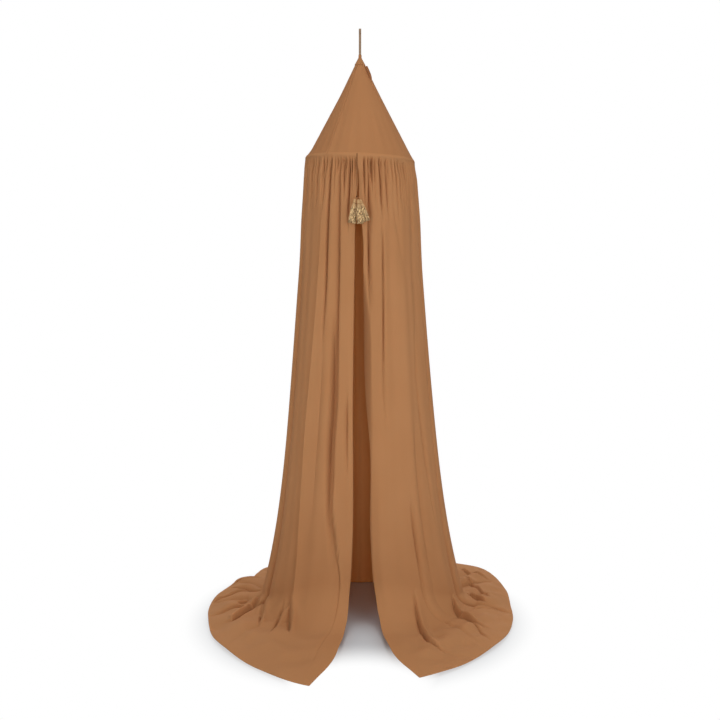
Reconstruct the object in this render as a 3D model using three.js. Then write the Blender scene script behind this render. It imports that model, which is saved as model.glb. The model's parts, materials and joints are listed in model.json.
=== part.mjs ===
// Bed crown canopy: a cloth cone over a hoop, with a curtain in four panels that hangs
// from the hoop, parts at the front and lies in folds on the floor.
// Millimetres, +Z up, front towards -Y, left towards -X.
// The origin is where the ceiling hook bears on the eye of the hanging loop.

import * as THREE from "three";

// Driving sizes: overall
const hookToFloor = 2437;
const loopLength = 110;
const roofHeight = 445;
const hoopDiameter = 440;
const hoopTilt = 0.038; // drop per unit of width, left side high

// Driving sizes: hanging loop, a flat tape folded round an eye
const tapeWidth = 10;
const tapePly = 1.6;
const eyeBore = 12;
const loopTuck = 10;

// Driving sizes: hoop of two rods, its ferrules and its casing
const rodDiameter = 8;
const rodFit = 0.5;
const ferruleWall = 1.6;
const ferruleLength = 50;
const casingWall = 1.4;
const casingFit = 0.8;
const casingSlot = 2;

// Driving sizes: roof
const roofCloth = 1.2;
const roofEdgeRise = 5;
const capCloth = 1.4;
const capNeckWall = 1.5;
const capLength = 42;
const roofSeamAngle = 53; // degrees from the front to the right seam
const labelLength = 60;
const labelWidth = 22;
const labelCloth = 1;
const labelBelowApex = 47;

// Driving sizes: curtain
const curtainCloth = 2;
const seamRise = 13;
const gatherPuff = 6.5;
const leftFloorReach = 436;
const rightFloorReach = 452;
const frontFloorReach = 330;
const backFloorReach = 305;
const floorBend = 45;
const poolSpan = 635;
const slitFootWidth = 110;
const foldDepth = 24;
const poolFoldHeight = 26;
const hemFoldHeight = 3;

// Driving sizes: tassels
const tasselDrop = 165; // from the hoop to the knot
const tasselShift = 12; // left of the middle
const tasselClearance = 2;
const cordDiameter = 3;
const knotDiameter = 9;
const capDiameter = 11;
const capHeight = 8;
const threadDiameter = 2.4;
const bindingHeight = 7;
const bindingProud = 0.9;
const skirtFlute = 0.9;

const gap = 0.3; // between pieces that touch

// How the curtain widens on its way down: a steady share, and a flick near the floor
const steadyShare = 0.62;
const flickPower = 5.5;
const puffFullShare = 0.045;
const puffFadeShares = [0.1, 0.25];

// Leading edges: share of the fall, and distance from the middle as a share of slitFootWidth
const leftEdgeShares = [[0, 0.105], [0.03, 0.105], [0.09, 0.145], [0.24, 0.21], [0.5, 0.27],
  [0.87, 0.32], [1, 0.45]];
const rightEdgeShares = [[0, -0.105], [0.03, -0.105], [0.09, -0.03], [0.16, 0.09],
  [0.24, 0.16], [0.34, 0.39], [0.5, 0.46], [0.87, 0.5], [1, 0.65]];

// Hem on the floor: degrees from the front, and distance from the middle as a share of poolSpan
const leftHemShares = [[0, 1.5], [11, 1.485], [25, 1.34], [45, 1.16], [70, 1.02], [90, 0.99],
  [110, 1.02], [125, 1.08], [143, 1.14], [162, 1.13], [180, 1.1]];
const rightHemShares = [[0, 1.4], [13.5, 1.38], [25, 1.26], [45, 1.14], [65, 1.05], [88, 1.01],
  [106, 1.063], [122, 1.15], [136, 1.235], [152, 1.18], [180, 1.1]];
const leftTipAngle = 10.8;
const rightTipAngle = 13.6;

// Main folds: degrees from the front at the hoop and at the floor, and share of foldDepth
const leftFolds = [
  { top: 21.5, foot: 16, share: 1 },
  { top: 30.5, foot: 33, share: 0.7 },
  { top: 50, foot: 53, share: 1 },
  { top: 68, foot: 72, share: 0.8 },
  { top: 84, foot: 86, share: 0.6 },
  { top: 101, foot: 103, share: 0.9 },
  { top: 119, foot: 117, share: 1 },
  { top: 136, foot: 138, share: 0.8 },
  { top: 153, foot: 151, share: 1 },
  { top: 169, foot: 170, share: 0.7 },
];
const rightFolds = [
  { top: 20, foot: 33, share: 1 },
  { top: 40, foot: 46, share: 0.6 },
  { top: 58, foot: 58, share: 1 },
  { top: 74, foot: 76, share: 0.8 },
  { top: 96, foot: 94, share: 0.9 },
  { top: 113, foot: 115, share: 0.8 },
  { top: 131, foot: 129, share: 1 },
  { top: 148, foot: 150, share: 0.9 },
  { top: 165, foot: 164, share: 0.8 },
];
const foldHalfAngle = 4.6;
const edgeCurlShare = 0.6;
const edgeCurlAngle = 3.5;
const foldGrowthShares = [[0, 0], [0.012, 0], [0.05, 0.5], [0.15, 0.6], [0.5, 0.85], [1, 1]];

// Rows of the curtain's grid: shares of the fall, then of the way across the pool
const fallRowShares = [0.05, 0.15, 0.3, 0.45, 0.6, 0.74, 0.87];
const poolRowShares = [0, 0.35, 0.7, 1];
const poolHeightShares = [[0, 0.8], [0.35, 1], [0.7, 0.65], [1, 0]];
const bendRowAngles = [0, 45];
const curtainColumns = 34;

// Tassels: where each hangs and where its foot is, from the knot, as shares of the drop
const skirtDrop = 108;
const capDomeShares = [0.3, 0.6, 0.85, 1];
const capDomeHeightShare = 0.8;
const bindingEdgeShares = [0.3, 0.7];
const skirtSpreadPower = 0.8;
const cordLeavesClothPower = 4;
const tasselShapes = [
  { side: "left", hang: [-0.074, -0.093], foot: [-0.176, -0.99], forward: 0, wide: 0.25 },
  { side: "middle", hang: [0.014, -0.111], foot: [0.093, -1.01], forward: 0.074, wide: 0.24 },
  { side: "right", hang: [0.102, -0.111], foot: [0.352, -0.917], forward: 0, wide: 0.26 },
];

const hoopRadius = hoopDiameter / 2;
const apexZ = -loopLength;
const hoopZ = apexZ - roofHeight;
const floorZ = -hookToFloor;
const seamZ = hoopZ + seamRise;
const fall = hoopZ - floorZ;

const ferruleBore = rodDiameter / 2 + rodFit;
const ferruleRadius = ferruleBore + ferruleWall;
const casingBore = ferruleRadius + casingFit;
const casingRadius = casingBore + casingWall;

// The roof's outer face is the line from the apex that clears the casing.
const roofOffset = casingRadius + gap + roofCloth;
const roofAngle =
  Math.atan2(hoopRadius, roofHeight) +
  Math.asin(roofOffset / Math.hypot(hoopRadius, roofHeight));
const roofRadius = (z) => (apexZ - z) * Math.tan(roofAngle);
const roofWall = roofCloth / Math.cos(roofAngle);
const roofTop = apexZ - loopTuck - gap;
const hoopOuter = hoopRadius + casingRadius + 2 * gap + curtainCloth;

const radians = THREE.MathUtils.degToRad;
const mix = THREE.MathUtils.lerp;
const smooth = THREE.MathUtils.smoothstep;

// Value at x on the line through a table of [x, value] pairs
function along(table, x) {
  const next = table.findIndex(([at]) => at >= x);
  if (next === 0) return table[0][1];
  if (next < 0) return table[table.length - 1][1];
  const [from, start] = table[next - 1];
  const [to, end] = table[next];
  return mix(start, end, (x - from) / (to - from));
}

// Turns a geometry's faces round if they point inwards.
function facingOut(geometry) {
  const position = geometry.getAttribute("position");
  const index = geometry.getIndex();
  const corner = [0, 1, 2].map(() => new THREE.Vector3());
  let volume = 0;
  for (let i = 0; i < index.count; i += 3) {
    corner.forEach((c, k) => c.fromBufferAttribute(position, index.getX(i + k)));
    volume += corner[0].dot(corner[1].clone().cross(corner[2]));
  }
  if (volume >= 0) return geometry;
  for (let i = 0; i < index.count; i += 3) {
    const first = index.getX(i);
    index.setX(i, index.getX(i + 1));
    index.setX(i + 1, first);
  }
  return geometry;
}

function indexedGeometry(points, triangles) {
  const geometry = new THREE.BufferGeometry();
  geometry.setAttribute(
    "position",
    new THREE.Float32BufferAttribute(points.flatMap((p) => [p.x, p.y, p.z]), 3),
  );
  geometry.setIndex(triangles.flat());
  return facingOut(geometry);
}

// Closed sheet between two faces, each a function of (column, row) that returns a point
function sheetGeometry(outer, inner, columns, rows) {
  const points = [];
  const triangles = [];
  const place = (face, i, j) => face * (columns + 1) * (rows + 1) + j * (columns + 1) + i;
  for (const face of [outer, inner]) {
    for (let j = 0; j <= rows; j++) {
      for (let i = 0; i <= columns; i++) points.push(face(i, j));
    }
  }
  const quad = (a, b, c, d) => triangles.push([a, b, c], [a, c, d]);
  for (let j = 0; j < rows; j++) {
    for (let i = 0; i < columns; i++) {
      quad(place(0, i, j), place(0, i + 1, j), place(0, i + 1, j + 1), place(0, i, j + 1));
      quad(place(1, i, j), place(1, i, j + 1), place(1, i + 1, j + 1), place(1, i + 1, j));
    }
  }
  for (let i = 0; i < columns; i++) {
    quad(place(0, i, 0), place(1, i, 0), place(1, i + 1, 0), place(0, i + 1, 0));
    quad(place(0, i, rows), place(0, i + 1, rows), place(1, i + 1, rows), place(1, i, rows));
  }
  for (let j = 0; j < rows; j++) {
    quad(place(0, 0, j), place(0, 0, j + 1), place(1, 0, j + 1), place(1, 0, j));
    quad(place(0, columns, j), place(1, columns, j), place(1, columns, j + 1),
      place(0, columns, j + 1));
  }
  return indexedGeometry(points, triangles);
}

// Ring of points, from a radius and a number of sides
function circlePoints(radius, sides) {
  return Array.from({ length: sides }, (_, i) => {
    const angle = (i / sides) * 2 * Math.PI;
    return new THREE.Vector2(radius * Math.cos(angle), radius * Math.sin(angle));
  });
}

// Arc of the hoop's centre line, between two angles from +X
class HoopArc extends THREE.Curve {
  constructor(from, to) {
    super();
    this.from = from;
    this.to = to;
  }

  getPoint(share, target = new THREE.Vector3()) {
    const angle = mix(this.from, this.to, share);
    return target.set(hoopRadius * Math.cos(angle), hoopRadius * Math.sin(angle), hoopZ);
  }
}

// Everything on the hoop leans with it: points drop towards +X.
const leaning = new THREE.Matrix4().set(1, 0, 0, 0, 0, 1, 0, 0, -hoopTilt, 0, 1, 0, 0, 0, 0, 1);
const lean = (geometry) => geometry.applyMatrix4(leaning);

function spun(profile, segments) {
  const points = [...profile, profile[0]].map(([r, z]) => new THREE.Vector2(r, z));
  return new THREE.LatheGeometry(points, segments).rotateX(Math.PI / 2);
}

const finish = (name, color, roughness, metalness = 0) =>
  new THREE.MeshStandardMaterial({ name, color, roughness, metalness });
const materials = {
  muslin: finish("muslin", 0xb07a50, 0.92),
  roofMuslin: finish("roof_muslin", 0xb27c54, 0.92),
  tape: finish("tape", 0x8f7459, 0.9),
  label: finish("label", 0xc08c62, 0.85),
  rod: finish("rod", 0xd9d4c8, 0.5),
  ferrule: finish("ferrule", 0xf0eee8, 0.4),
  lurex: finish("lurex", 0xc49a5c, 0.4, 0.6),
  thread: finish("thread", 0xa87850, 0.8),
};

function named(name, geometry, material) {
  const mesh = new THREE.Mesh(geometry, material);
  mesh.name = name;
  return mesh;
}

// Flat tape, folded round the eye and sewn face to face below it
function hangingLoop() {
  const bore = eyeBore / 2;
  const outside = bore + tapePly;
  const eyeZ = -bore;
  const meet = Math.asin(tapePly / outside);
  const bottom = apexZ - loopTuck;
  const outline = new THREE.Shape();
  outline.moveTo(tapePly, bottom);
  outline.lineTo(tapePly, eyeZ - outside * Math.cos(meet));
  outline.absarc(0, eyeZ, outside, meet - Math.PI / 2, 1.5 * Math.PI - meet, false);
  outline.lineTo(-tapePly, bottom);
  outline.closePath();
  outline.holes.push(new THREE.Path().absarc(0, eyeZ, bore, 0, 2 * Math.PI, true));
  const geometry = new THREE.ExtrudeGeometry(outline, {
    depth: tapeWidth,
    bevelEnabled: false,
    curveSegments: 12,
  });
  geometry.translate(0, 0, -tapeWidth / 2);
  geometry.applyMatrix4(
    new THREE.Matrix4().makeBasis(
      new THREE.Vector3(0, 1, 0),
      new THREE.Vector3(0, 0, 1),
      new THREE.Vector3(1, 0, 0),
    ),
  );
  return named("hanging_loop", geometry, materials.tape);
}

// Cloth cap over the tip of the roof: a neck round the tape, then a cone on the panels
function apexCap() {
  const bore = Math.hypot(tapeWidth / 2, tapePly) + gap;
  const over = (z, wall) => roofRadius(z) + (gap + wall) / Math.cos(roofAngle);
  const meet = (radius, wall) => apexZ - (radius - over(apexZ, wall)) / Math.tan(roofAngle);
  const end = apexZ - capLength;
  const neck = bore + capNeckWall;
  const profile = [
    [bore, apexZ + tapePly],
    [bore, meet(bore, 0)],
    [over(end, 0), end],
    [over(end, capCloth), end],
    [neck, meet(neck, capCloth)],
    [neck, apexZ + tapePly],
  ];
  return named("apex_cap", lean(spun(profile, 24)), materials.roofMuslin);
}

// One quarter of the cone, between two seams
function roofPanel(name, seam) {
  const columns = 12;
  const rows = 4;
  const face = (wall) => (i, j) => {
    const z = mix(roofTop, hoopZ + roofEdgeRise, j / rows);
    const radius = roofRadius(z);
    const inset = gap / 2 / radius;
    const angle = mix(seam + inset, seam + Math.PI / 2 - inset, i / columns);
    const r = radius - wall;
    return new THREE.Vector3(r * Math.sin(angle), -r * Math.cos(angle), z);
  };
  const geometry = sheetGeometry(face(0), face(roofWall), columns, rows);
  return named(name, lean(geometry), materials.roofMuslin);
}

// Blank label, sewn into the right roof seam and standing out from it
function sewnLabel() {
  const top = apexZ - labelBelowApex;
  const onRoof = (z) => roofRadius(z) + gap / Math.cos(roofAngle);
  const cornerShares = [[0, 0], [0, 1], [0.62, 0.9], [0.95, 0.45], [1, 0]];
  const outline = new THREE.Shape(
    cornerShares.map(([down, out]) => {
      const z = top - down * labelLength;
      return new THREE.Vector2(onRoof(z) + out * labelWidth, z);
    }),
  );
  const geometry = new THREE.ExtrudeGeometry(outline, { depth: labelCloth, bevelEnabled: false });
  geometry.translate(0, 0, -labelCloth / 2);
  const angle = radians(roofSeamAngle);
  const outwards = new THREE.Vector3(Math.sin(angle), -Math.cos(angle), 0);
  const up = new THREE.Vector3(0, 0, 1);
  geometry.applyMatrix4(
    new THREE.Matrix4().makeBasis(outwards, up, outwards.clone().cross(up)),
  );
  return named("sewn_in_label", lean(geometry), materials.label);
}

// Half of the hoop: a round rod whose ends meet the other half's in the ferrules
function hoopHalf(name, from) {
  const inset = gap / 2 / hoopRadius;
  const section = new THREE.Shape(circlePoints(rodDiameter / 2, 8));
  const geometry = new THREE.ExtrudeGeometry(section, {
    steps: 40,
    bevelEnabled: false,
    extrudePath: new HoopArc(from + inset, from + Math.PI - inset),
  });
  return named(name, lean(geometry), materials.rod);
}

function ferrule(name, at) {
  const half = ferruleLength / 2 / hoopRadius;
  const section = new THREE.Shape(circlePoints(ferruleRadius, 14));
  section.holes.push(new THREE.Path(circlePoints(ferruleBore, 14)));
  const geometry = new THREE.ExtrudeGeometry(section, {
    steps: 6,
    bevelEnabled: false,
    extrudePath: new HoopArc(at - half, at + half),
  });
  return named(name, lean(geometry), materials.ferrule);
}

// Cloth tube round the hoop, open along the line where its edges run into the seam
function hoopCasing() {
  const sides = 10;
  const boreCorner = casingBore / Math.cos(Math.PI / sides);
  const half = casingSlot / 2 / casingBore;
  const slotAt = Math.PI / 2 + roofAngle;
  const arc = (radius, share) => {
    const angle = mix(slotAt + half, slotAt + 2 * Math.PI - half, share);
    return [hoopRadius + radius * Math.cos(angle), hoopZ + radius * Math.sin(angle)];
  };
  const profile = [];
  for (let i = 0; i <= sides; i++) profile.push(arc(casingRadius, i / sides));
  for (let i = sides; i >= 0; i--) profile.push(arc(boreCorner, i / sides));
  return named("hoop_casing", lean(spun(profile, 48)), materials.muslin);
}

// Distance of the curtain's outer face from the middle, on the side where it reaches the floor
// at reach: on the hoop it lies over the roof's edge, and below it puffs out and then flares.
function curtainRadius(z, reach) {
  if (z > hoopZ + roofEdgeRise) return roofRadius(z) + (gap + curtainCloth) / Math.cos(roofAngle);
  const share = Math.max(0, (hoopZ - z) / fall);
  const puff =
    gatherPuff * smooth(share, 0, puffFullShare) * (1 - smooth(share, ...puffFadeShares));
  const flare = steadyShare * share + (1 - steadyShare) * share ** flickPower;
  return hoopOuter + puff + (reach - hoopOuter) * flare;
}

// How far the cloth stands out at an angle: 1 on a crest, less in a fold
function crest(folds, angle, share, edge) {
  const dip = (at, half) => Math.exp(-(((angle - at) / half) ** 2));
  let low = edge === null ? 0 : edgeCurlShare * dip(edge, edgeCurlAngle);
  for (const fold of folds) {
    low += fold.share * dip(mix(fold.top, fold.foot, share), foldHalfAngle);
  }
  return Math.max(0, 1 - low);
}

// The curtain's two sides: how far each reaches and where its edge, hem and folds run
const curtainSides = {
  left: {
    sign: -1,
    reach: leftFloorReach,
    edge: leftEdgeShares,
    hem: leftHemShares,
    folds: leftFolds,
    tip: leftTipAngle,
  },
  right: {
    sign: 1,
    reach: rightFloorReach,
    edge: rightEdgeShares,
    hem: rightHemShares,
    folds: rightFolds,
    tip: rightTipAngle,
  },
};

// Grid rows from the top down: on the hoop and down the fall each has its own z, in the bend
// its angle from upright to flat, and on the floor its share of the way out to the hem.
const bendTop = floorZ + curtainCloth + floorBend;
const curtainRows = [
  { z: seamZ },
  { z: hoopZ + roofEdgeRise },
  { z: hoopZ - casingRadius - casingFit },
  ...fallRowShares.map((share) => ({ z: hoopZ - share * fall })),
  ...bendRowAngles.map((angle) => ({ bend: radians(angle) })),
  ...poolRowShares.map((share) => ({ bend: Math.PI / 2, pool: share })),
];

// One quarter of the curtain. Front panels run from the leading edge to the side seam, back
// panels from the side seam to the middle of the back. Angles are in degrees from the front.
function curtainPanel(name, side, front) {
  const reachY = front ? frontFloorReach : backFloorReach;
  const point = (i, j, inner) => {
    const row = curtainRows[j];
    const z = row.z ?? bendTop;
    const share = (hoopZ - z) / fall;
    const radiusX = curtainRadius(z, side.reach);
    const radiusY = curtainRadius(z, reachY);
    const turn = row.bend ?? 0;
    const pool = row.pool ?? 0;

    const edgeX = along(side.edge, Math.max(0, share)) * slitFootWidth + (side.sign * gap) / -2;
    const signedEdge = side.sign < 0 ? edgeX : edgeX + gap;
    const hanging = THREE.MathUtils.radToDeg(Math.asin(signedEdge / radiusX));
    const edge = mix(hanging, side.tip, pool);
    const degrees = front ? mix(edge, 90, i / curtainColumns) : mix(90, 180, i / curtainColumns);
    const angle = radians(degrees);

    const high = crest(side.folds, degrees, Math.max(0, share), front ? edge : null);
    const inwards = foldDepth * along(foldGrowthShares, Math.max(0, share)) * (1 - high);
    const across = floorBend * (1 - Math.cos(turn)) - inwards * Math.cos(turn);
    const stand = new THREE.Vector2(Math.sin(angle), -Math.cos(angle));
    const base = new THREE.Vector2(radiusX * stand.x, radiusY * stand.y);
    base.addScaledVector(stand, across - (inner ? curtainCloth * Math.cos(turn) : 0));
    const hem = stand.clone().multiplyScalar(along(side.hem, degrees) * poolSpan);
    base.lerp(hem, pool);

    const lie = along(poolHeightShares, pool) * poolFoldHeight * high + hemFoldHeight;
    const height = inner ? -curtainCloth * Math.sin(turn) : lie * Math.sin(turn);
    const level = row.z ?? bendTop - floorBend * Math.sin(turn) + height;
    const seamY = front ? -gap / 2 : gap / 2;
    const seamX = front ? 0 : gap / 2;
    const x = side.sign * (base.x + seamX);
    return new THREE.Vector3(x, base.y + seamY, level - hoopTilt * x * (1 - smooth(share, 0, 1)));
  };
  const rows = curtainRows.length - 1;
  const geometry = sheetGeometry(
    (i, j) => point(i, j, false),
    (i, j) => point(i, j, true),
    curtainColumns,
    rows,
  );
  return named(name, geometry, materials.muslin);
}

// Tassels hang in front of the slit, clear of the cloth.
const knotZ = hoopZ - tasselDrop;
const widest = Math.max(...tasselShapes.map((shape) => shape.wide)) * skirtDrop / 2;
const tasselY = -(
  curtainRadius(knotZ - skirtDrop, frontFloorReach) + widest + tasselClearance
);
const knotPlace = new THREE.Vector3(-tasselShift, tasselY, knotZ);

// Cord from the gather seam to the knot, lying on the cloth and then drawn out by the tassels
function tasselCord() {
  const steps = 10;
  const radius = cordDiameter / 2;
  const places = [];
  for (let i = 0; i <= steps; i++) {
    const share = i / steps;
    const z = mix(seamZ - cordDiameter, knotZ + knotDiameter / 2 + gap, share);
    const onCloth = -(curtainRadius(Math.min(z, hoopZ), frontFloorReach) + gap + radius);
    const y = mix(onCloth, tasselY, share ** cordLeavesClothPower);
    places.push(new THREE.Vector3(-tasselShift, y, z));
  }
  const geometry = new THREE.ExtrudeGeometry(new THREE.Shape(circlePoints(radius, 8)), {
    steps: 24,
    bevelEnabled: false,
    extrudePath: new THREE.CatmullRomCurve3(places),
  });
  return named("tassel_cord", geometry, materials.thread);
}

function tasselKnot() {
  const geometry = new THREE.SphereGeometry(knotDiameter / 2, 12, 8);
  geometry.translate(knotPlace.x, knotPlace.y, knotPlace.z);
  return named("tassel_knot", geometry, materials.thread);
}

// One tassel: a straight thread from the knot, then, in a frame of their own that is turned
// and moved into place, a domed cap, a bound ring and a fluted skirt
function tassel(shape) {
  const hang = new THREE.Vector3(shape.hang[0], -shape.forward, shape.hang[1]);
  const foot = new THREE.Vector3(shape.foot[0], -shape.forward, shape.foot[1]);
  const length = hang.distanceTo(foot) * skirtDrop;
  const capRadius = capDiameter / 2;
  const threadRadius = threadDiameter / 2;
  const skirtRadius = (shape.wide * skirtDrop) / 2;
  const bindingTop = -capHeight - gap;
  const bindingEnd = bindingTop - bindingHeight;
  const skirtTop = bindingEnd - gap;

  const threadWay = hang.clone().normalize();
  const threadEnds = [
    knotDiameter / 2 + gap,
    hang.length() * skirtDrop - threadRadius - gap,
  ].map((along) => threadWay.clone().multiplyScalar(along).add(knotPlace));
  const thread = new THREE.ExtrudeGeometry(new THREE.Shape(circlePoints(threadRadius, 8)), {
    steps: 2,
    bevelEnabled: false,
    extrudePath: new THREE.LineCurve3(...threadEnds),
  });

  const dome = capDomeShares.map((share) => [
    mix(threadRadius, capRadius, Math.sin((share * Math.PI) / 2)),
    mix(0, -capHeight * capDomeHeightShare, 1 - Math.cos((share * Math.PI) / 2)),
  ]);
  const cap = [[0, 0], [threadRadius, 0], ...dome, [capRadius, -capHeight], [0, -capHeight]];
  const ring = capRadius + bindingProud;
  const binding = [
    [0, bindingTop],
    [capRadius, bindingTop],
    ...bindingEdgeShares.map((share) => [ring, mix(bindingTop, bindingEnd, share)]),
    [capRadius, bindingEnd],
    [0, bindingEnd],
  ];

  const flutes = 10;
  const around = flutes * 2;
  const rows = 4;
  const points = [new THREE.Vector3(0, 0, skirtTop)];
  for (let j = 0; j <= rows; j++) {
    const share = j / rows;
    for (let i = 0; i < around; i++) {
      const angle = (i / around) * 2 * Math.PI;
      const radius = mix(capRadius, skirtRadius, share ** skirtSpreadPower) - (i % 2) * skirtFlute;
      const z = mix(skirtTop, -length, share);
      points.push(new THREE.Vector3(radius * Math.cos(angle), radius * Math.sin(angle), z));
    }
  }
  points.push(new THREE.Vector3(0, 0, -length));
  const last = points.length - 1;
  const place = (i, j) => 1 + j * around + (i % around);
  const triangles = [];
  for (let i = 0; i < around; i++) {
    triangles.push([0, place(i, 0), place(i + 1, 0)]);
    triangles.push([last, place(i + 1, rows), place(i, rows)]);
    for (let j = 0; j < rows; j++) {
      triangles.push([place(i, j), place(i, j + 1), place(i + 1, j + 1)]);
      triangles.push([place(i, j), place(i + 1, j + 1), place(i + 1, j)]);
    }
  }

  const lathe = (profile) =>
    new THREE.LatheGeometry(
      profile.map(([r, z]) => new THREE.Vector2(r, z)).reverse(),
      16,
    ).rotateX(Math.PI / 2);
  const hung = new THREE.Group();
  hung.add(
    named(`tassel_${shape.side}_cap`, lathe(cap), materials.thread),
    named(`tassel_${shape.side}_binding`, lathe(binding), materials.lurex),
    named(`tassel_${shape.side}_skirt`, indexedGeometry(points, triangles), materials.lurex),
  );
  hung.position.copy(hang).multiplyScalar(skirtDrop).add(knotPlace);
  hung.quaternion.setFromUnitVectors(
    new THREE.Vector3(0, 0, -1),
    foot.clone().sub(hang).normalize(),
  );
  const group = new THREE.Group();
  group.add(named(`tassel_${shape.side}_thread`, thread, materials.thread), hung);
  return group;
}

const canopy = new THREE.Group();
const firstSeam = radians(roofSeamAngle);
canopy.add(hangingLoop(), apexCap(), sewnLabel());
["right", "back", "left", "front"].forEach((side, i) => {
  canopy.add(roofPanel(`roof_panel_${side}`, firstSeam + (i * Math.PI) / 2));
});
canopy.add(
  hoopHalf("hoop_half_front", Math.PI),
  hoopHalf("hoop_half_back", 0),
  ferrule("hoop_ferrule_left", Math.PI),
  ferrule("hoop_ferrule_right", 0),
  hoopCasing(),
);
for (const [sideName, side] of Object.entries(curtainSides)) {
  canopy.add(curtainPanel(`curtain_front_${sideName}`, side, true));
  canopy.add(curtainPanel(`curtain_back_${sideName}`, side, false));
}
canopy.add(tasselCord(), tasselKnot(), ...tasselShapes.map(tassel));

export default canopy;
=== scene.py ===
"""Looks of the bed crown canopy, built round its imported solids.

A thin cotton cone hangs from a tape loop over a hoop. A curtain is gathered into the seam at the
foot of the cone, parts at the front and ends in a pool of folds on the floor. Three metallic
tassels hang in front of the slit. All places are in metres, up is +Z and the front is towards -Y.
"""

from __future__ import annotations

import json
import logging
import math
from dataclasses import dataclass
from enum import Enum
from typing import Any, Sequence

import bpy
import numpy as np
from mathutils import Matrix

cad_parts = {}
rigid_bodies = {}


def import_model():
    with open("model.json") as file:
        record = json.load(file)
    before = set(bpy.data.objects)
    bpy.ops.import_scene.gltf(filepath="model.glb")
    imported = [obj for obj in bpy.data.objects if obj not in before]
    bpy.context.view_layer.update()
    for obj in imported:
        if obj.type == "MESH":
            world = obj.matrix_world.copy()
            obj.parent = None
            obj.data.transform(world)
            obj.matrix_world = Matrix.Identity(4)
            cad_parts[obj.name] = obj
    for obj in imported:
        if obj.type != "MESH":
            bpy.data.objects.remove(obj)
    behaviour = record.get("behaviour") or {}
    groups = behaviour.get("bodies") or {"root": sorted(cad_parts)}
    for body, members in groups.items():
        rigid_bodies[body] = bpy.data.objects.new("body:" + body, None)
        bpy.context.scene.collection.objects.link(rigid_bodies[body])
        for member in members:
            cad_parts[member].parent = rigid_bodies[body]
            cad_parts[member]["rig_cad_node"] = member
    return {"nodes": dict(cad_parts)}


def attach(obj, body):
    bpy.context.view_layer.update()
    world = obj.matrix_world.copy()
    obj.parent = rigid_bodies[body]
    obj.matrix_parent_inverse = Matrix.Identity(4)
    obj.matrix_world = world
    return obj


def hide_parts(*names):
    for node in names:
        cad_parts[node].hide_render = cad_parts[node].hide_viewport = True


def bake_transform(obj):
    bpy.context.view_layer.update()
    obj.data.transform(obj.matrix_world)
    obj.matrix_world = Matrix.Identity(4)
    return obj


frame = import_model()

log = logging.getLogger("canopy")
Array = np.ndarray
Piece = bpy.types.Object
Socket = bpy.types.NodeSocket
Place = tuple[float, float, float]
Span = tuple[float, float]
Colour = tuple[float, ...]
Table = Sequence[Span]

TURN = 2 * math.pi
ROUND = 6.28  # a turn as the random waves use it
RIGHT_ANGLE = 90.0


# ---------------------------------------------------------------- working with numbers


def smooth(x: Array, low: float, high: float) -> Array:
    """Ramp from 0 at low to 1 at high with level ends: 3t^2 - 2t^3 of the clamped share t."""
    t = np.clip((np.asarray(x, float) - low) / (high - low), 0, 1)
    return t * t * (3 - 2 * t)


def mix(a: Any, b: Any, t: Any) -> Any:
    """Value a share t of the way from a to b."""
    return a + (b - a) * t


def through(table: Table, x: Array) -> Array:
    """Value at x on a smooth line through a table of knots.

    Between two knots the line is the cubic that has their values and, at each, the slope between
    its neighbours. Past the ends it keeps the end's value.

    Args:
        table: Pairs of place and value, in rising order of place.
        x: Places to read.

    Returns:
        The values at x.
    """
    at, value = np.array(table, float).T
    slope = np.gradient(value, at)
    x = np.clip(x, at[0], at[-1])
    i = np.clip(np.searchsorted(at, x, side="right") - 1, 0, len(at) - 2)
    width = at[i + 1] - at[i]
    t = (x - at[i]) / width
    start = (1 + 2 * t) * (1 - t) ** 2 * value[i] + t * (1 - t) ** 2 * width * slope[i]
    end = t * t * (3 - 2 * t) * value[i + 1] + t * t * (t - 1) * width * slope[i + 1]
    return start + end


def unit(vectors: Array) -> Array:
    """Vectors scaled to a length of 1."""
    return vectors / np.maximum(np.linalg.norm(vectors, axis=-1, keepdims=True), 1e-12)


def walked(path: Array) -> Array:
    """Distance of each point of a line from its start, along the line."""
    return np.r_[0, np.cumsum(np.linalg.norm(np.diff(path, axis=0), axis=1))]


def evenly(path: Array, spacing: float, start: float) -> Array:
    """Points a fixed distance apart along a line.

    Args:
        path: Points of the line.
        spacing: Distance from one point to the next.
        start: Distance of the first one from the line's start.

    Returns:
        The points, one row each.
    """
    steps = walked(path)
    at = np.arange(start, steps[-1], spacing)
    return np.stack([np.interp(at, steps, path[:, k]) for k in range(3)], axis=1)


def about(radius: Array, angle: Array, z: Array) -> Array:
    """Places at distances from the Z axis, angles in radians from the front, and heights."""
    flat = radius * np.sin(angle), -radius * np.cos(angle)
    return np.stack(np.broadcast_arrays(*flat, z), axis=-1)


def outwards(points: Array, up: float) -> Array:
    """Directions away from the Z axis at each place, tipped up by a height."""
    return points * [1, 1, 0] + [0, 0, up]


# ---------------------------------------------------------------- making meshes


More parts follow.
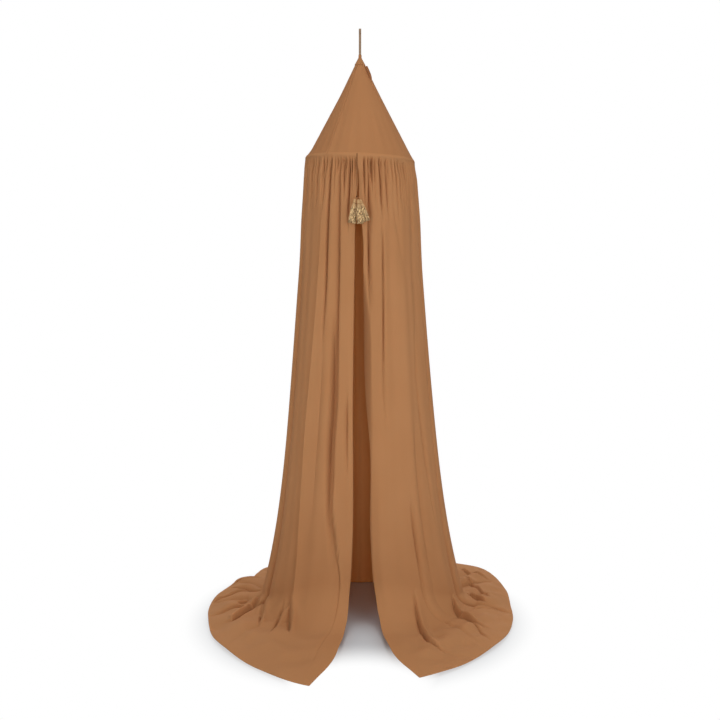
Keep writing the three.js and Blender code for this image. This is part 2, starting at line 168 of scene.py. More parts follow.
def raw_mesh(name: str, points: Array, corners: Array, counts: Array, uv: Any = None) -> Piece:
    """Object from plain arrays.

    Args:
        name: Name of the piece.
        points: Places of the vertices, one row each.
        corners: Vertex of each face corner, face after face.
        counts: Number of corners of each face.
        uv: Place of each vertex on the flat cloth, in metres, or None.

    Returns:
        The object, linked to the scene, with smooth faces.
    """
    mesh = bpy.data.meshes.new(name)
    mesh.vertices.add(len(points))
    mesh.vertices.foreach_set("co", points.astype(np.float32).ravel())
    mesh.loops.add(len(corners))
    mesh.loops.foreach_set("vertex_index", corners.astype(np.int32))
    mesh.polygons.add(len(counts))
    mesh.polygons.foreach_set("loop_start", np.r_[0, np.cumsum(counts)[:-1]].astype(np.int32))
    mesh.polygons.foreach_set("loop_total", counts.astype(np.int32))
    mesh.polygons.foreach_set("use_smooth", np.ones(len(counts), bool))
    if uv is not None:
        layer = mesh.uv_layers.new(name="UVMap")
        layer.data.foreach_set("uv", uv[corners].astype(np.float32).ravel())
    mesh.update(calc_edges=True)
    mesh.validate()
    piece = bpy.data.objects.new(name, mesh)
    bpy.context.scene.collection.objects.link(piece)
    return piece


def grid_mesh(name: str, points: Array, facing: Array) -> Piece:
    """Open sheet over a grid of points, facing a given way.

    The flat place of a point, for the weave, is its mean distance along its row and column.

    Args:
        name: Name of the piece.
        points: Places, as rows by columns by 3.
        facing: Direction that the faces look, at each point.

    Returns:
        The sheet.
    """
    rows, columns = points.shape[:2]
    place = np.arange(rows * columns).reshape(rows, columns)
    corners = [place[:-1, :-1], place[:-1, 1:], place[1:, 1:], place[1:, :-1]]
    quads = np.stack(corners, axis=-1).reshape(-1, 4)
    diagonals = points[1:, :-1] - points[:-1, 1:], points[1:, 1:] - points[:-1, :-1]
    if np.sum(np.cross(*diagonals) * facing[:-1, :-1]) < 0:
        quads = quads[:, ::-1]
    u, v = (
        np.cumsum(np.r_[0, np.linalg.norm(np.diff(points, axis=way), axis=2).mean(axis=1 - way)])
        for way in (1, 0)
    )
    uv = np.stack(np.meshgrid(u, v), axis=-1).reshape(-1, 2)
    return raw_mesh(name, points.reshape(-1, 3), quads.ravel(), np.full(len(quads), 4), uv)


def tube_mesh(name: str, points: Array, uv: Any = None) -> Piece:
    """Tubes with closed ends over rings of points.

    Args:
        name: Name of the piece.
        points: Places, as tubes by rings by sides by 3.
        uv: Flat place of each point, or None.

    Returns:
        One object with all the tubes.
    """
    many, rings, sides = points.shape[:3]
    place = np.arange(many * rings * sides).reshape(many, rings, sides)
    after = np.roll(place, -1, axis=2)
    quads = np.stack([place[:, :-1], after[:, :-1], after[:, 1:], place[:, 1:]], axis=-1)
    ends = np.concatenate([place[:, 0, ::-1], place[:, -1]])
    corners = np.r_[quads.ravel(), ends.ravel()]
    counts = np.r_[np.full(quads.size // 4, 4), np.full(len(ends), sides)]
    return raw_mesh(name, points.reshape(-1, 3), corners, counts, uv)


def tubes(name: str, paths: Array, radius: Any, sides: int, flat: float = 1.0) -> Piece:
    """Tubes of any section along many paths at once.

    Each ring stands across its path. Its points lie at even angles from the path, at the radius
    given for them, and flat squeezes the ring along its second axis.

    Args:
        name: Name of the piece.
        paths: Middles of the rings, as tubes by rings by 3.
        radius: Radius of the rings, or of each of their points, as tubes by rings by sides.
        sides: Points round a ring.
        flat: Height of the section as a share of its width.

    Returns:
        One object with all the tubes.
    """
    many, rings = paths.shape[:2]
    way = unit(np.gradient(paths, axis=1))
    mean = unit(paths[:, -1] - paths[:, 0] + 1e-9)
    helper = np.where(np.abs(mean[:, 1:2]) > 0.8, [[1.0, 0, 0]], [[0, 1.0, 0]])
    side = unit(np.cross(way, np.broadcast_to(helper[:, None], way.shape)))[:, :, None]
    other = np.cross(way, side[:, :, 0])[:, :, None]
    turn = np.arange(sides) / sides * TURN
    size = np.broadcast_to(np.asarray(radius, float), (many, rings, sides))[..., None]
    ring = np.cos(turn)[:, None] * side + flat * np.sin(turn)[:, None] * other
    u = np.broadcast_to(turn / TURN, (many, rings, sides))
    length = np.linalg.norm(np.diff(paths, axis=1), axis=2)
    v = np.concatenate([np.zeros((many, 1)), np.cumsum(length, axis=1)], axis=1)
    uv = np.stack([u, np.broadcast_to(v[..., None], u.shape)], axis=-1).reshape(-1, 2)
    return tube_mesh(name, paths[:, :, None] + size * ring, uv)


def turned(name: str, profile: Array, sides: int, ripple: Any = 1.0) -> Piece:
    """Closed solid of revolution about Z whose first and last point lie on the axis.

    Args:
        name: Name of the piece.
        profile: Radius and height of each ring, from the top down.
        sides: Points round a ring.
        ripple: Factor on the radius, as rings by sides.

    Returns:
        The solid.
    """
    turn = np.arange(sides) / sides * TURN
    inner = profile[1:-1]
    radius = inner[:, :1] * np.broadcast_to(ripple, (len(inner), sides))
    height = np.broadcast_to(inner[:, 1:], radius.shape)
    rings = np.stack([radius * np.cos(turn), radius * np.sin(turn), height], axis=-1)
    tips = [[[0, 0, end]] for end in profile[[0, -1], 1]]
    points = np.concatenate([tips[0], rings.reshape(-1, 3), tips[1]])
    place = 1 + np.arange(len(inner) * sides).reshape(len(inner), sides)
    after = np.roll(place, -1, axis=1)
    quads = np.stack([place[:-1], place[1:], after[1:], after[:-1]], axis=-1)
    top = np.stack([np.zeros(sides, int), place[0], after[0]], axis=-1)
    foot = np.stack([np.full(sides, len(points) - 1), after[-1], place[-1]], axis=-1)
    corners = np.r_[quads.ravel(), top.ravel(), foot.ravel()]
    counts = np.r_[np.full(quads.size // 4, 4), np.full(2 * sides, 3)]
    return raw_mesh(name, points, corners, counts)


@dataclass(frozen=True)
class StitchSize:
    """Sizes of one kind of stitch."""

    pitch: float = 0.0042
    length: float = 0.003
    radius: float = 0.0003
    rise: float = 0.00035


def stitches(name: str, line: Array, out: Array, size: StitchSize = StitchSize()) -> Piece:
    """Row of sewing stitches along a line on cloth.

    A stitch is a short arc that rises from the cloth and goes back in: its height over its
    length is sin(pi t), and its ends are thinner than its middle.

    Args:
        name: Name of the piece.
        line: Points of the line on the cloth.
        out: Direction away from the cloth, at each of them or for all.
        size: The stitch.

    Returns:
        One object with all the stitches.
    """
    starts = evenly(line, size.pitch, size.pitch / 4)
    ends = evenly(line, size.pitch, size.pitch / 4 + size.length)
    many = min(len(starts), len(ends))
    starts, ends = starts[:many, None], ends[:many, None]
    nearest = np.argmin((((starts + ends) / 2 - line[None]) ** 2).sum(axis=2), axis=1)
    away = unit(np.broadcast_to(out, line.shape)[nearest])[:, None]
    t = np.linspace(0, 1, 5)[None, :, None]
    arc = np.sin(np.pi * t)
    paths = mix(starts, ends, t) + away * (size.rise * arc - size.rise * 0.4)
    return tubes(name, paths, size.radius * (0.55 + 0.45 * arc), 4)


def thicken(sheet: Piece, wall: float, ring: bool = False) -> None:
    """Gives a sheet its wall, inwards from its outer face.

    Args:
        sheet: The sheet.
        wall: Thickness of the wall.
        ring: True where its first and last column lie on each other and are joined.
    """
    if ring:
        sheet.modifiers.new("closing", "WELD").merge_threshold = 0.00001
    solid = sheet.modifiers.new("thickness", "SOLIDIFY")
    solid.thickness, solid.offset, solid.use_even_offset = wall, -1, False


def places(piece: Piece) -> Array:
    """Places of a piece's vertices, one row each.

    Args:
        piece: The piece.

    Returns:
        The places.
    """
    flat = np.zeros(len(piece.data.vertices) * 3, np.float32)
    piece.data.vertices.foreach_get("co", flat)
    return flat.reshape(-1, 3).astype(float)


def face_out(piece: Piece) -> None:
    """Turns the faces of a closed mesh outwards.

    Args:
        piece: The piece. Its faces are flipped if they enclose a volume below 0.
    """
    mesh = piece.data
    mesh.calc_loop_triangles()
    corners = np.zeros(len(mesh.loop_triangles) * 3, np.int32)
    mesh.loop_triangles.foreach_get("vertices", corners)
    a, b, c = places(piece)[corners.reshape(-1, 3)].transpose(1, 0, 2)
    if np.sum(a * np.cross(b, c)) < 0:
        mesh.flip_normals()


# ---------------------------------------------------------------- finishes


class Board:
    """Node tree that is being filled, with its output node."""

    def __init__(self, tree: bpy.types.NodeTree, output: str = "OutputMaterial") -> None:
        """Empties a tree and adds its output.

        Args:
            tree: Tree of a material or the world.
            output: Type of its output node, as in add.
        """
        tree.nodes.clear()
        self.tree = tree
        self.output = self.add(output)

    def add(self, kind: str, settings: dict[str, Any] | None = None, **inputs: Any) -> Any:
        """Adds a node.

        Args:
            kind: Type of the node, without the ShaderNode in front.
            settings: Values of the node's own properties.
            inputs: Inputs, as in fill.

        Returns:
            The node.
        """
        node = self.tree.nodes.new(f"ShaderNode{kind}")
        for key, value in (settings or {}).items():
            setattr(node, key, value)
        self.fill(node, **inputs)
        return node

    def fill(self, node: Any, **inputs: Any) -> None:
        """Sets or links a node's inputs, named with _ for a space."""
        for key, value in inputs.items():
            self.plug(node, key.replace("_", " "), value)

    def plug(self, node: Any, socket: str | int, value: Any) -> None:
        """Sets one input, by its name or number, to a value, or links it to an output."""
        if isinstance(value, Socket):
            self.tree.links.new(value, node.inputs[socket])
        else:
            node.inputs[socket].default_value = value

    def numbered(self, node: Any, values: dict[int, Any], output: int = 0) -> Socket:
        """Sets or links a node's inputs by number and gives one of its outputs."""
        for socket, value in values.items():
            self.plug(node, socket, value)
        return node.outputs[output]

    def math(self, operation: str, a: Any, b: Any = 0.0, clamp: bool = False) -> Socket:
        """Output of a Math node on two values."""
        node = self.add("Math", {"operation": operation, "use_clamp": clamp})
        return self.numbered(node, {0: a, 1: b})

    def blend(self, share: Any, a: Any, b: Any) -> Socket:
        """Output of a colour mix from a to b by share."""
        node = self.add("Mix", {"data_type": "RGBA"})
        return self.numbered(node, {0: share, 6: a, 7: b}, 2)

    def shaders(self, share: Any, a: Any, b: Any) -> Socket:
        """Output of a mix from one shader node to another by share."""
        return self.numbered(self.add("MixShader"), {0: share, 1: a.outputs[0], 2: b.outputs[0]})

    def spread(self, value: Any, low: float, high: float) -> Socket:
        """Output of a Map Range from 0..1 to low..high."""
        return self.add("MapRange", Value=value, To_Min=low, To_Max=high).outputs[0]

    def noise(self, place: Socket, scale: float, detail: float) -> Socket:
        """Output of a Noise Texture."""
        return self.add("TexNoise", Vector=place, Scale=scale, Detail=detail).outputs["Fac"]

    def stretch(self, place: Socket, scale: Place) -> Socket:
        """Places scaled along each axis."""
        return self.add("Mapping", Vector=place, Scale=scale).outputs[0]

    def bump(self, height: Any, distance: float, strength: float, **under: Any) -> Socket:
        """Output of a Bump node, on top of another one if that is given as Normal."""
        node = self.add("Bump", Height=height, Distance=distance, Strength=strength, **under)
        return node.outputs[0]


class Surface(Board):
    """Tree of a new material, with a shader on its output."""

    def __init__(self, name: str, shader: str = "BsdfPrincipled") -> None:
        """Makes the material.

        Args:
            name: Name of the material.
            shader: Type of its shader, as in add.
        """
        self.material = bpy.data.materials.new(name)
        self.material.use_nodes = True
        super().__init__(self.material.node_tree)
        self.shader = self.add(shader)
        self.plug(self.output, 0, self.shader.outputs[0])
        self.coordinates = self.add("TexCoord").outputs

    def wear(self, **inputs: Any) -> bpy.types.Material:
        """Sets or links inputs of the shader and gives the material."""
        self.fill(self.shader, **inputs)
        return self.material


def linear(red: int, green: int, blue: int) -> Colour:
    """Shader colour of a screen colour from 0 to 255, with an alpha of 1."""
    c = np.array([red, green, blue]) / 255
    return (*np.where(c <= 0.04045, c / 12.92, ((c + 0.055) / 1.055) ** 2.4).tolist(), 1.0)


@dataclass(frozen=True)
class Finish:
    """Looks of one material: its slot in the record, its tone and a darker tone, which some
    finishes use as painted shade.
    """

    slot: str
    tone: Colour
    deep: Colour

    def material(self) -> bpy.types.Material:
        """Makes the material."""
        raise NotImplementedError


@dataclass(frozen=True)
class ClothFinish(Finish):
    """Woven cotton: a plain weave, fine crinkles and a slight change of tone.

    The weave is the product of two waves across each other, and its hollows are painted a little
    darker: painted shade. The crinkles are noise, drawn out along the cloth's length. The cloth is
    thin: a share of the light goes through it.
    """

    pitch: float = 0.0011
    wave: float = 0.314
    crinkle: float = 0.0016
    crinkle_scale: float = 70.0
    slub_scale: float = 420.0
    tone_scale: float = 4.0
    tone_share: Span = (0.2, 1.1)
    slub_share: Span = (-0.1, 0.35)
    weave_painted_shade: Span = (0.22, 0.0)
    relief: float = 0.00025
    thin: float = 0.3
    through: Colour = (0.98, 0.57, 0.23, 1.0)

    def material(self) -> bpy.types.Material:
        """Makes the material, named after its slot.

        Returns:
            The material.
        """
        b = Surface(f"{self.slot}_cloth")
        place = b.coordinates["UV"]
        waves = [
            b.add("TexWave", {"bands_direction": way}, Vector=place, Scale=self.wave / self.pitch)
            for way in "XY"
        ]
        weave = b.math("MULTIPLY", *(node.outputs["Fac"] for node in waves))
        long = b.stretch(place, (1.0, 0.4, 1.0))
        tone, deep = (
            (*(min(c / (1 - self.thin), 1.0) for c in colour[:3]), 1.0)
            for colour in (self.tone, self.deep)
        )
        slow, slubs = b.noise(place, self.tone_scale, 2.0), b.noise(long, self.slub_scale, 2.0)
        shade = b.blend(b.spread(slow, *self.tone_share), deep, tone)
        shade = b.blend(b.spread(slubs, *self.slub_share), shade, deep)
        # painted shade: the hollows of the weave take some of the darker tone
        shade = b.blend(b.spread(weave, *self.weave_painted_shade), shade, deep)
        rough = b.bump(b.noise(long, self.crinkle_scale, 4.0), self.crinkle, 0.5)
        passing = b.add("BsdfTranslucent", Color=self.through)
        b.plug(b.output, 0, b.shaders(self.thin, b.shader, passing))
        relief = b.bump(weave, self.relief, 0.5, Normal=rough)
        return b.wear(
            Base_Color=shade, Roughness=0.92, Specular_IOR_Level=0.2, Sheen_Weight=0.1,
            Sheen_Roughness=0.5, Sheen_Tint=self.tone, Normal=relief,
        )


class Lay(Enum):
    """How the plies run, with the name of the material."""

    TWIST = "thread_yarn"
    HERRINGBONE = "herringbone_tape"


@dataclass(frozen=True)
class YarnFinish(Finish):
    """Twisted thread or woven tape: fine slanted plies and fuzz.

    A twist's plies follow x + y + z. A herringbone's follow z and the distance from the middle of
    the column, so that they change direction across the width. The troughs between the plies are
    painted in the darker tone: painted shade.
    """

    lay: Lay = Lay.TWIST
    pitch: float = 0.0011
    fuzz_scale: float = 900.0
    fuzz_share: float = 0.5
    relief: Span = (0.5, 0.5)
    gloss: float = 0.2
    sheen: float = 0.1
    column: float = 0.0025
    slope: float = 1.6

    def material(self) -> bpy.types.Material:
        """Makes the material, named after its lay.

        Returns:
            The material.
        """
        b = Surface(self.lay.value)
        place = b.coordinates["Object"]
        x, y, z = b.add("SeparateXYZ", Vector=place).outputs
        if self.lay is Lay.TWIST:
            slant = b.math("ADD", b.math("ADD", x, y), z)
            b.fill(b.shader, Sheen_Tint=self.tone)
        else:
            across = b.math("SUBTRACT", b.math("PINGPONG", x, self.column), self.column / 2)
            slant = b.math("ADD", b.math("MULTIPLY", b.math("ABSOLUTE", across), self.slope), z)
        plies = b.math("SINE", b.math("MULTIPLY", slant, TURN / self.pitch))
        plies = b.math("ADD", b.math("MULTIPLY", plies, 0.5), 0.5)
        fuzz = b.noise(place, self.fuzz_scale, 3.0)
        # painted shade: the troughs between the plies take the darker tone
        shade = b.blend(plies, self.deep, self.tone)
        shade = b.blend(b.spread(fuzz, 0.0, self.fuzz_share), shade, self.deep)
        rough = b.bump(fuzz, 0.0002, self.relief[1])
        return b.wear(
            Base_Color=shade, Roughness=0.85, Specular_IOR_Level=self.gloss,
            Sheen_Weight=self.sheen, Normal=b.bump(plies, 0.0003, self.relief[0], Normal=rough),
        )


@dataclass(frozen=True)
class MetalYarnFinish(Finish):
    """Flat metallic yarn: facets painted bright and dark, as painted glints and painted shade, that
    also differ in gloss, and dull cotton where it starts.

    The facets are cells drawn out along the yarn. The yarn's own UV gives the distance from its
    start.
    """

    cotton: Colour = (1.0, 1.0, 1.0, 1.0)
    cells: Span = (420.0, 900.0)
    shares: Span = (0.65, 0.35)
    contrast: Span = (-0.35, 1.35)
    start: Span = (0.004, 0.026)
    metallic: float = 0.75
    gloss: Span = (0.22, 0.5)
    dull: float = 0.85
    grain: float = 1400.0
    relief: Span = (0.0006, 0.7)

    def material(self) -> bpy.types.Material:
        """Makes the material.

        Returns:
            The material.
        """
        b = Surface("metal_yarn")
        place = b.coordinates["Object"]
        long = b.stretch(place, (1.0, 1.0, 0.3))
        # painted glints and painted shade: cells drawn out along the yarn take a bright or a dark
        # tone
        glint_cells = []
        for scale, share in zip(self.cells, self.shares):
            cell = b.add("TexVoronoi", Vector=long, Scale=scale).outputs["Color"]
            glint_cells.append(b.math("MULTIPLY", b.add("SeparateColor", Color=cell).outputs[0], share))
        painted_glint = b.spread(b.math("ADD", *glint_cells), *self.contrast)
        along = b.add("SeparateXYZ", Vector=b.coordinates["UV"]).outputs[1]
        low, high = self.start
        metal = b.add("MapRange", Value=along, From_Min=low, From_Max=high).outputs[0]
        gloss = b.math("SUBTRACT", b.spread(painted_glint, *self.gloss), self.dull)
        return b.wear(
            Base_Color=b.blend(metal, self.cotton, b.blend(painted_glint, self.deep, self.tone)),
            Metallic=b.math("MULTIPLY", metal, self.metallic),
            Roughness=b.math("ADD", b.math("MULTIPLY", metal, gloss), self.dull),
            Normal=b.bump(b.noise(place, self.grain, 2.0), *self.relief),
        )


@dataclass(frozen=True)
class StiffFinish(Finish):
    """Drawn rod or moulded sleeve: marks that change tone and gloss, and a fine grain.

    Marks and grain are noise, each given by its scale and detail.
    """

    name: str = "moulded_sleeve"
    across: float = 1.0
    marks: Span = (60.0, 5.0)
    tones: Span = (-0.3, 0.7)
    gloss: Span = (0.32, 0.5)
    grain: Span = (1500.0, 2.0)
    relief: Span = (0.0001, 0.4)

    def material(self) -> bpy.types.Material:
        """Makes the material.

        Returns:
            The material.
        """
        b = Surface(self.name)
        place = b.stretch(b.coordinates["Object"], (1.0, 1.0, self.across))
        marks = b.noise(place, *self.marks)
        return b.wear(
            Base_Color=b.blend(b.spread(marks, *self.tones), self.tone, self.deep),
            Roughness=b.spread(marks, *self.gloss),
            Normal=b.bump(b.noise(place, *self.grain), *self.relief),
        )


MUSLIN = ClothFinish("muslin", linear(176, 131, 90), linear(163, 116, 75))
# Roof muslin: the curtain's cloth in a darker tone, which darkens the sloping roof where the lamps
# light it more: painted shade.
ROOF_MUSLIN_PAINTED_SHADE = ClothFinish("roof_muslin", linear(166, 121, 81), linear(155, 109, 70), crinkle=0.001)
# Label: cloth in a tone lifted above the roof's, which lightens it where it stands edge-on in
# shade: painted light.
LABEL_PAINTED_LIGHT = ClothFinish(
    "label", linear(174, 126, 86), linear(162, 114, 75), pitch=0.0007, crinkle=0.0003
)
TAPE = YarnFinish(
    "tape", linear(172, 146, 120), linear(134, 106, 82),
    Lay.HERRINGBONE, 0.0014, 600.0, 0.4, (0.6, 0.4), 0.3, 0.15,
)
THREAD = YarnFinish("thread", linear(176, 127, 88), linear(158, 108, 70))
# Cord and knot thread: its dark tone stands in for the shade of the slit where they hang: painted
# shade.
THREAD_PAINTED_SHADE = YarnFinish("thread", linear(124, 76, 42), linear(96, 54, 26))
# Tassel cap thread: a pale tone, partly the caps' own colour and partly a painted highlight on
# their tops.
PALE_THREAD_HIGHLIGHT = YarnFinish("thread", linear(222, 184, 134), linear(186, 144, 98))
# Metal yarn: its bright tone is painted glints, its dark tone painted shade between them.
METAL_YARN = MetalYarnFinish(
    "lurex", linear(252, 220, 166), linear(120, 80, 43), linear(206, 166, 116)
)
ROD = StiffFinish(
    "rod", linear(217, 212, 200), linear(190, 184, 168), "drawn_rod", 6.0,
    (160.0, 4.0), (-0.2, 0.9), (0.3, 0.55), (160.0, 4.0), (0.0002, 0.3),
)
FERRULE = StiffFinish("ferrule", linear(240, 238, 232), linear(218, 214, 204))


class Dresser:
    """Keeps one material of each finish and puts it on pieces."""

    def __init__(self) -> None:
        """Starts with no materials."""
        self.made: dict[Finish, bpy.types.Material] = {}

    def dress(self, piece: Piece, finish: Finish) -> None:
        """Gives a piece a finish.

        Args:
            piece: The piece, or a CAD node that stays.
            finish: Its finish.
        """
        if finish not in self.made:
            self.made[finish] = finish.material()
        piece.data.materials.clear()
        piece.data.materials.append(self.made[finish])

    def settle(self, piece: Piece, finish: Finish, body: str, node: str = "") -> None:
        """Dresses a piece and puts it on a body, in place of a node.

        Args:
            piece: The piece.
            finish: Its finish.
            body: The body that it rides on.
            node: The CAD node in whose place it is, if any.
        """
        self.dress(piece, finish)
        if node:
            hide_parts(node)
        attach(piece, body)

    def cloth(
        self, sheet: Piece, finish: Finish, node: str, rows: Sequence[Piece] = (), **facts: Any
    ) -> None:
        """Args:
            sheet: The sheet.
            finish: Its finish.
            node: The node.
            rows: Rows of stitches on it.
        """
        self.settle(sheet, finish, "root", node)
        for row in rows:
            self.settle(row, THREAD, "root")
        log.info("%s made", sheet.name)


# ---------------------------------------------------------------- main lines


@dataclass(frozen=True)
class MainLines:
    """Main lines of the canopy, which every piece is set against."""

    apex_z: float = -0.110
    hoop_z: float = -0.555
    floor_z: float = -2.437
    seam_z: float = -0.542
    hoop_radius: float = 0.220
    hoop_tilt: float = 0.038
    casing_radius: float = 0.0083
    roof_cloth: float = 0.0012
    curtain_cloth: float = 0.002
    gap: float = 0.0003
    edge_rise: float = 0.005
    head_cloth: float = 0.0008
    sag_depth: Span = (0.0042, 0.0026)
    sag_ends: Span = (0.2, 0.045)
    puff: float = 0.0065
    puff_full: float = 0.045
    puff_fade: Span = (0.1, 0.25)
    steady: float = 0.62
    flick_power: float = 5.5
    loop_tuck: float = 0.010

    @property
    def fall(self) -> float:
        """Height of the hoop above the floor."""
        return self.hoop_z - self.floor_z

    @property
    def roof_angle(self) -> float:
        """Angle of the roof from upright, so that it clears the casing on the hoop.

        Returns:
            The angle in radians.
        """
        height = self.apex_z - self.hoop_z
        clear = self.casing_radius + self.gap + self.roof_cloth
        lift = math.asin(clear / math.hypot(self.hoop_radius, height))
        return math.atan2(self.hoop_radius, height) + lift

    def roof_radius(self, z: Array) -> Array:
        """Radius of the roof's outer face at height z."""
        return (self.apex_z - np.asarray(z, float)) * math.tan(self.roof_angle)

    def on_roof(self, z: Array, layer: float = 0.0) -> Array:
        """Radius at which a layer of cloth lies on the roof, with a gap, at height z."""
        return self.roof_radius(z) + (self.gap + layer) / math.cos(self.roof_angle)

    def sag(self, z: Array, degrees: Array) -> Array:
        """How far the roof's cloth sags inwards between the apex and the hoop.

        It grows with the distance from the apex, is back to 0 where the cloth touches the casing,
        and is greater on the left.

        Args:
            z: Heights.
            degrees: Angles from the front.

        Returns:
            Metres inwards.
        """
        top, foot = self.sag_ends
        below = smooth(-np.asarray(z, float), -self.apex_z, -self.apex_z + top)
        above = smooth(z, self.hoop_z + self.edge_rise, self.hoop_z + foot)
        mean, more = self.sag_depth
        return (mean - more * np.sin(np.radians(degrees))) * below * above

    def curtain_radius(self, z: Array, reach: float) -> Array:
        """Distance of the curtain's outer face from the middle.

        On the hoop it lies over the roof's edge. Below it stands out in a puff, and then widens
        by a steady share of the fall and by a high power of it near the floor.

        Args:
            z: Heights.
            reach: Distance at which it comes to the floor.

        Returns:
            The distances.
        """
        z = np.asarray(z, float)
        outer = self.hoop_radius + self.casing_radius + 2 * self.gap + self.head_cloth
        share = np.maximum((self.hoop_z - z) / self.fall, 0)
        puff = self.puff * smooth(share, 0, self.puff_full) * (1 - smooth(share, *self.puff_fade))
        flare = self.steady * share + (1 - self.steady) * share**self.flick_power
        hanging = outer + puff + (reach - outer) * flare
        over = self.on_roof(z, self.head_cloth)
        return np.where(z > self.hoop_z + self.edge_rise, over, hanging)

    def lean(self, points: Array, share: Any = 1.0) -> Array:
        """Points as they lean with the hoop, which drops towards +X.

        Args:
            points: Places.
            share: How far each point leans, from 0 to 1.

        Returns:
            New places.
        """
        moved = np.array(points, float)
        moved[..., 2] -= self.hoop_tilt * moved[..., 0] * share
        return moved


LINES = MainLines()


# ---------------------------------------------------------------- folds


BOTTOM = 0.0012  # how far the bottom of a fold is rounded
FOLD_LEAN = 1.6  # how much an uneven fold leans over


def valley(away: Array, near: Any, far: Any, flat: float = 0.0) -> Array:
    """Section of a fold: exp(-distance / width), rounded at the bottom.

    Args:
        away: Distances from the fold's line, below 0 towards the front.
        near: Width towards the front.
        far: Width away from the front.
        flat: Half of the bottom's own width, from which the distance counts.

    Returns:
        1 at the bottom, falling to 0 on either side.
    """
    past = np.maximum(np.abs(away) - flat, 0)
    rounded = np.sqrt(past**2 + BOTTOM**2) - BOTTOM
    return np.exp(-rounded / np.where(away < 0, near, far))


def lean_of(near: float, far: float) -> float:
    """How far a fold's bottom goes sideways for each metre inwards, to the steeper wall."""
    return FOLD_LEAN * (near - far) / (near + far)


@dataclass(frozen=True)
class Groove:
    """A fold that runs down the curtain, where the cloth goes inwards.

    Its line is knots of (share of the fall, degrees from the front), its depth is knots of (share
    of the fall, metres). Its section is a sharp valley between two rounded lobes of cloth, with a
    width of its own on either side.
    """

    line: Table
    depth: Table
    near: float
    far: float
    flat: float = 0.0

    def pull(self, degrees: Array, share: Array, radius: Array) -> tuple[Array, Array]:
        """How far the cloth goes in and sideways: depth times the section of a fold.

        Args:
            degrees: Angles from the front.
            share: Shares of the fall.
            radius: Distances from the middle.

        Returns:
            Metres inwards, below 0 for a ridge, and metres away from the front.
        """
        away = np.radians(degrees - through(self.line, share)) * radius
        inwards = through(self.depth, share) * valley(away, self.near, self.far, self.flat)
        return inwards, lean_of(self.near, self.far) * inwards


def groove(line: Table, depth: float, near: float, far: float, flat: float = 0.0) -> Groove:
    """Groove that starts and ends softly.

    Args:
        line: Knots of (share of the fall, degrees from the front).
        depth: Greatest depth in millimetres.
        near: Width towards the front in millimetres.
        far: Width away from the front in millimetres.
        flat: Half of the width of its bottom in millimetres.

    Returns:
        The groove, whose depth grows over its first sixth and fades over its last quarter.
    """
    start, end = line[0][0], line[-1][0]
    long = end - start
    knots = ((start, 0.0), (start + long / 6, 1.0), (end - long / 4, 0.85), (end, 0.0))
    sunk = tuple((at, share * depth / 1000) for at, share in knots)
    return Groove(line, sunk, near / 1000, far / 1000, flat / 1000)


@dataclass(frozen=True)
class Crease:
    """A crease in the cloth on the floor.

    Its line is places of (distance to the side, distance forward) from the middle. With a lap
    above 0 the cloth stands higher on the left of the line's direction, seen with the side to
    the right and forward up, and with one below 0 on the right.
    """

    line: Table
    depth: float
    width: float
    lap: float

    def sink(self, side: Array, forward: Array) -> Array:
        """How far the cloth sinks, with a low rise on one side of the crease or both.

        Args:
            side: Distances to the side.
            forward: Distances forward.

        Returns:
            Metres down: a valley along the line, less a lower and wider bell, which is 1 + lap
            times as high on the left of the line and 1 - lap times on the right. Both fade
            towards the ends of the line.
        """
        here = np.stack([side, forward], axis=-1)
        knots = np.array(self.line, float)
        steps = walked(knots)
        nearest, left, along = np.full(side.shape, np.inf), 0 * side, 0 * side
        for i, (a, b) in enumerate(zip(knots[:-1], knots[1:])):
            way = b - a
            t = np.clip(((here - a) @ way) / (way @ way), 0, 1)
            off = here - a - t[..., None] * way
            away = np.linalg.norm(off, axis=-1)
            beside = (way[0] * off[..., 1] - way[1] * off[..., 0]) / np.linalg.norm(way)
            left = np.where(away < nearest, beside, left)
            along = np.where(away < nearest, mix(steps[i], steps[i + 1], t), along)
            nearest = np.minimum(nearest, away)
        along = along / steps[-1]
        taper = smooth(along, 0, 0.18) * smooth(along, 1, 0.62)
        bell = valley(nearest, 0.5 * self.width, 0.5 * self.width)
        rise = np.exp(-((nearest / (2.4 * self.width)) ** 2))
        lobe = 0.9 * rise * (1 + self.lap * np.tanh(left / self.width))
        return self.depth * taper * (2.2 * bell - lobe)


@dataclass(frozen=True)
class CurtainSide:
    """One side of the curtain: where its edge, hem, folds and creases run."""

    name: str
    sign: int
    reach: float
    edge: Table
    turned_in: Table
    hem: Table
    tip: float
    hidden: float
    roll: Span
    grooves: tuple[Groove, ...]
    side_folds: Table
    creases: tuple[Crease, ...]
    seed: int


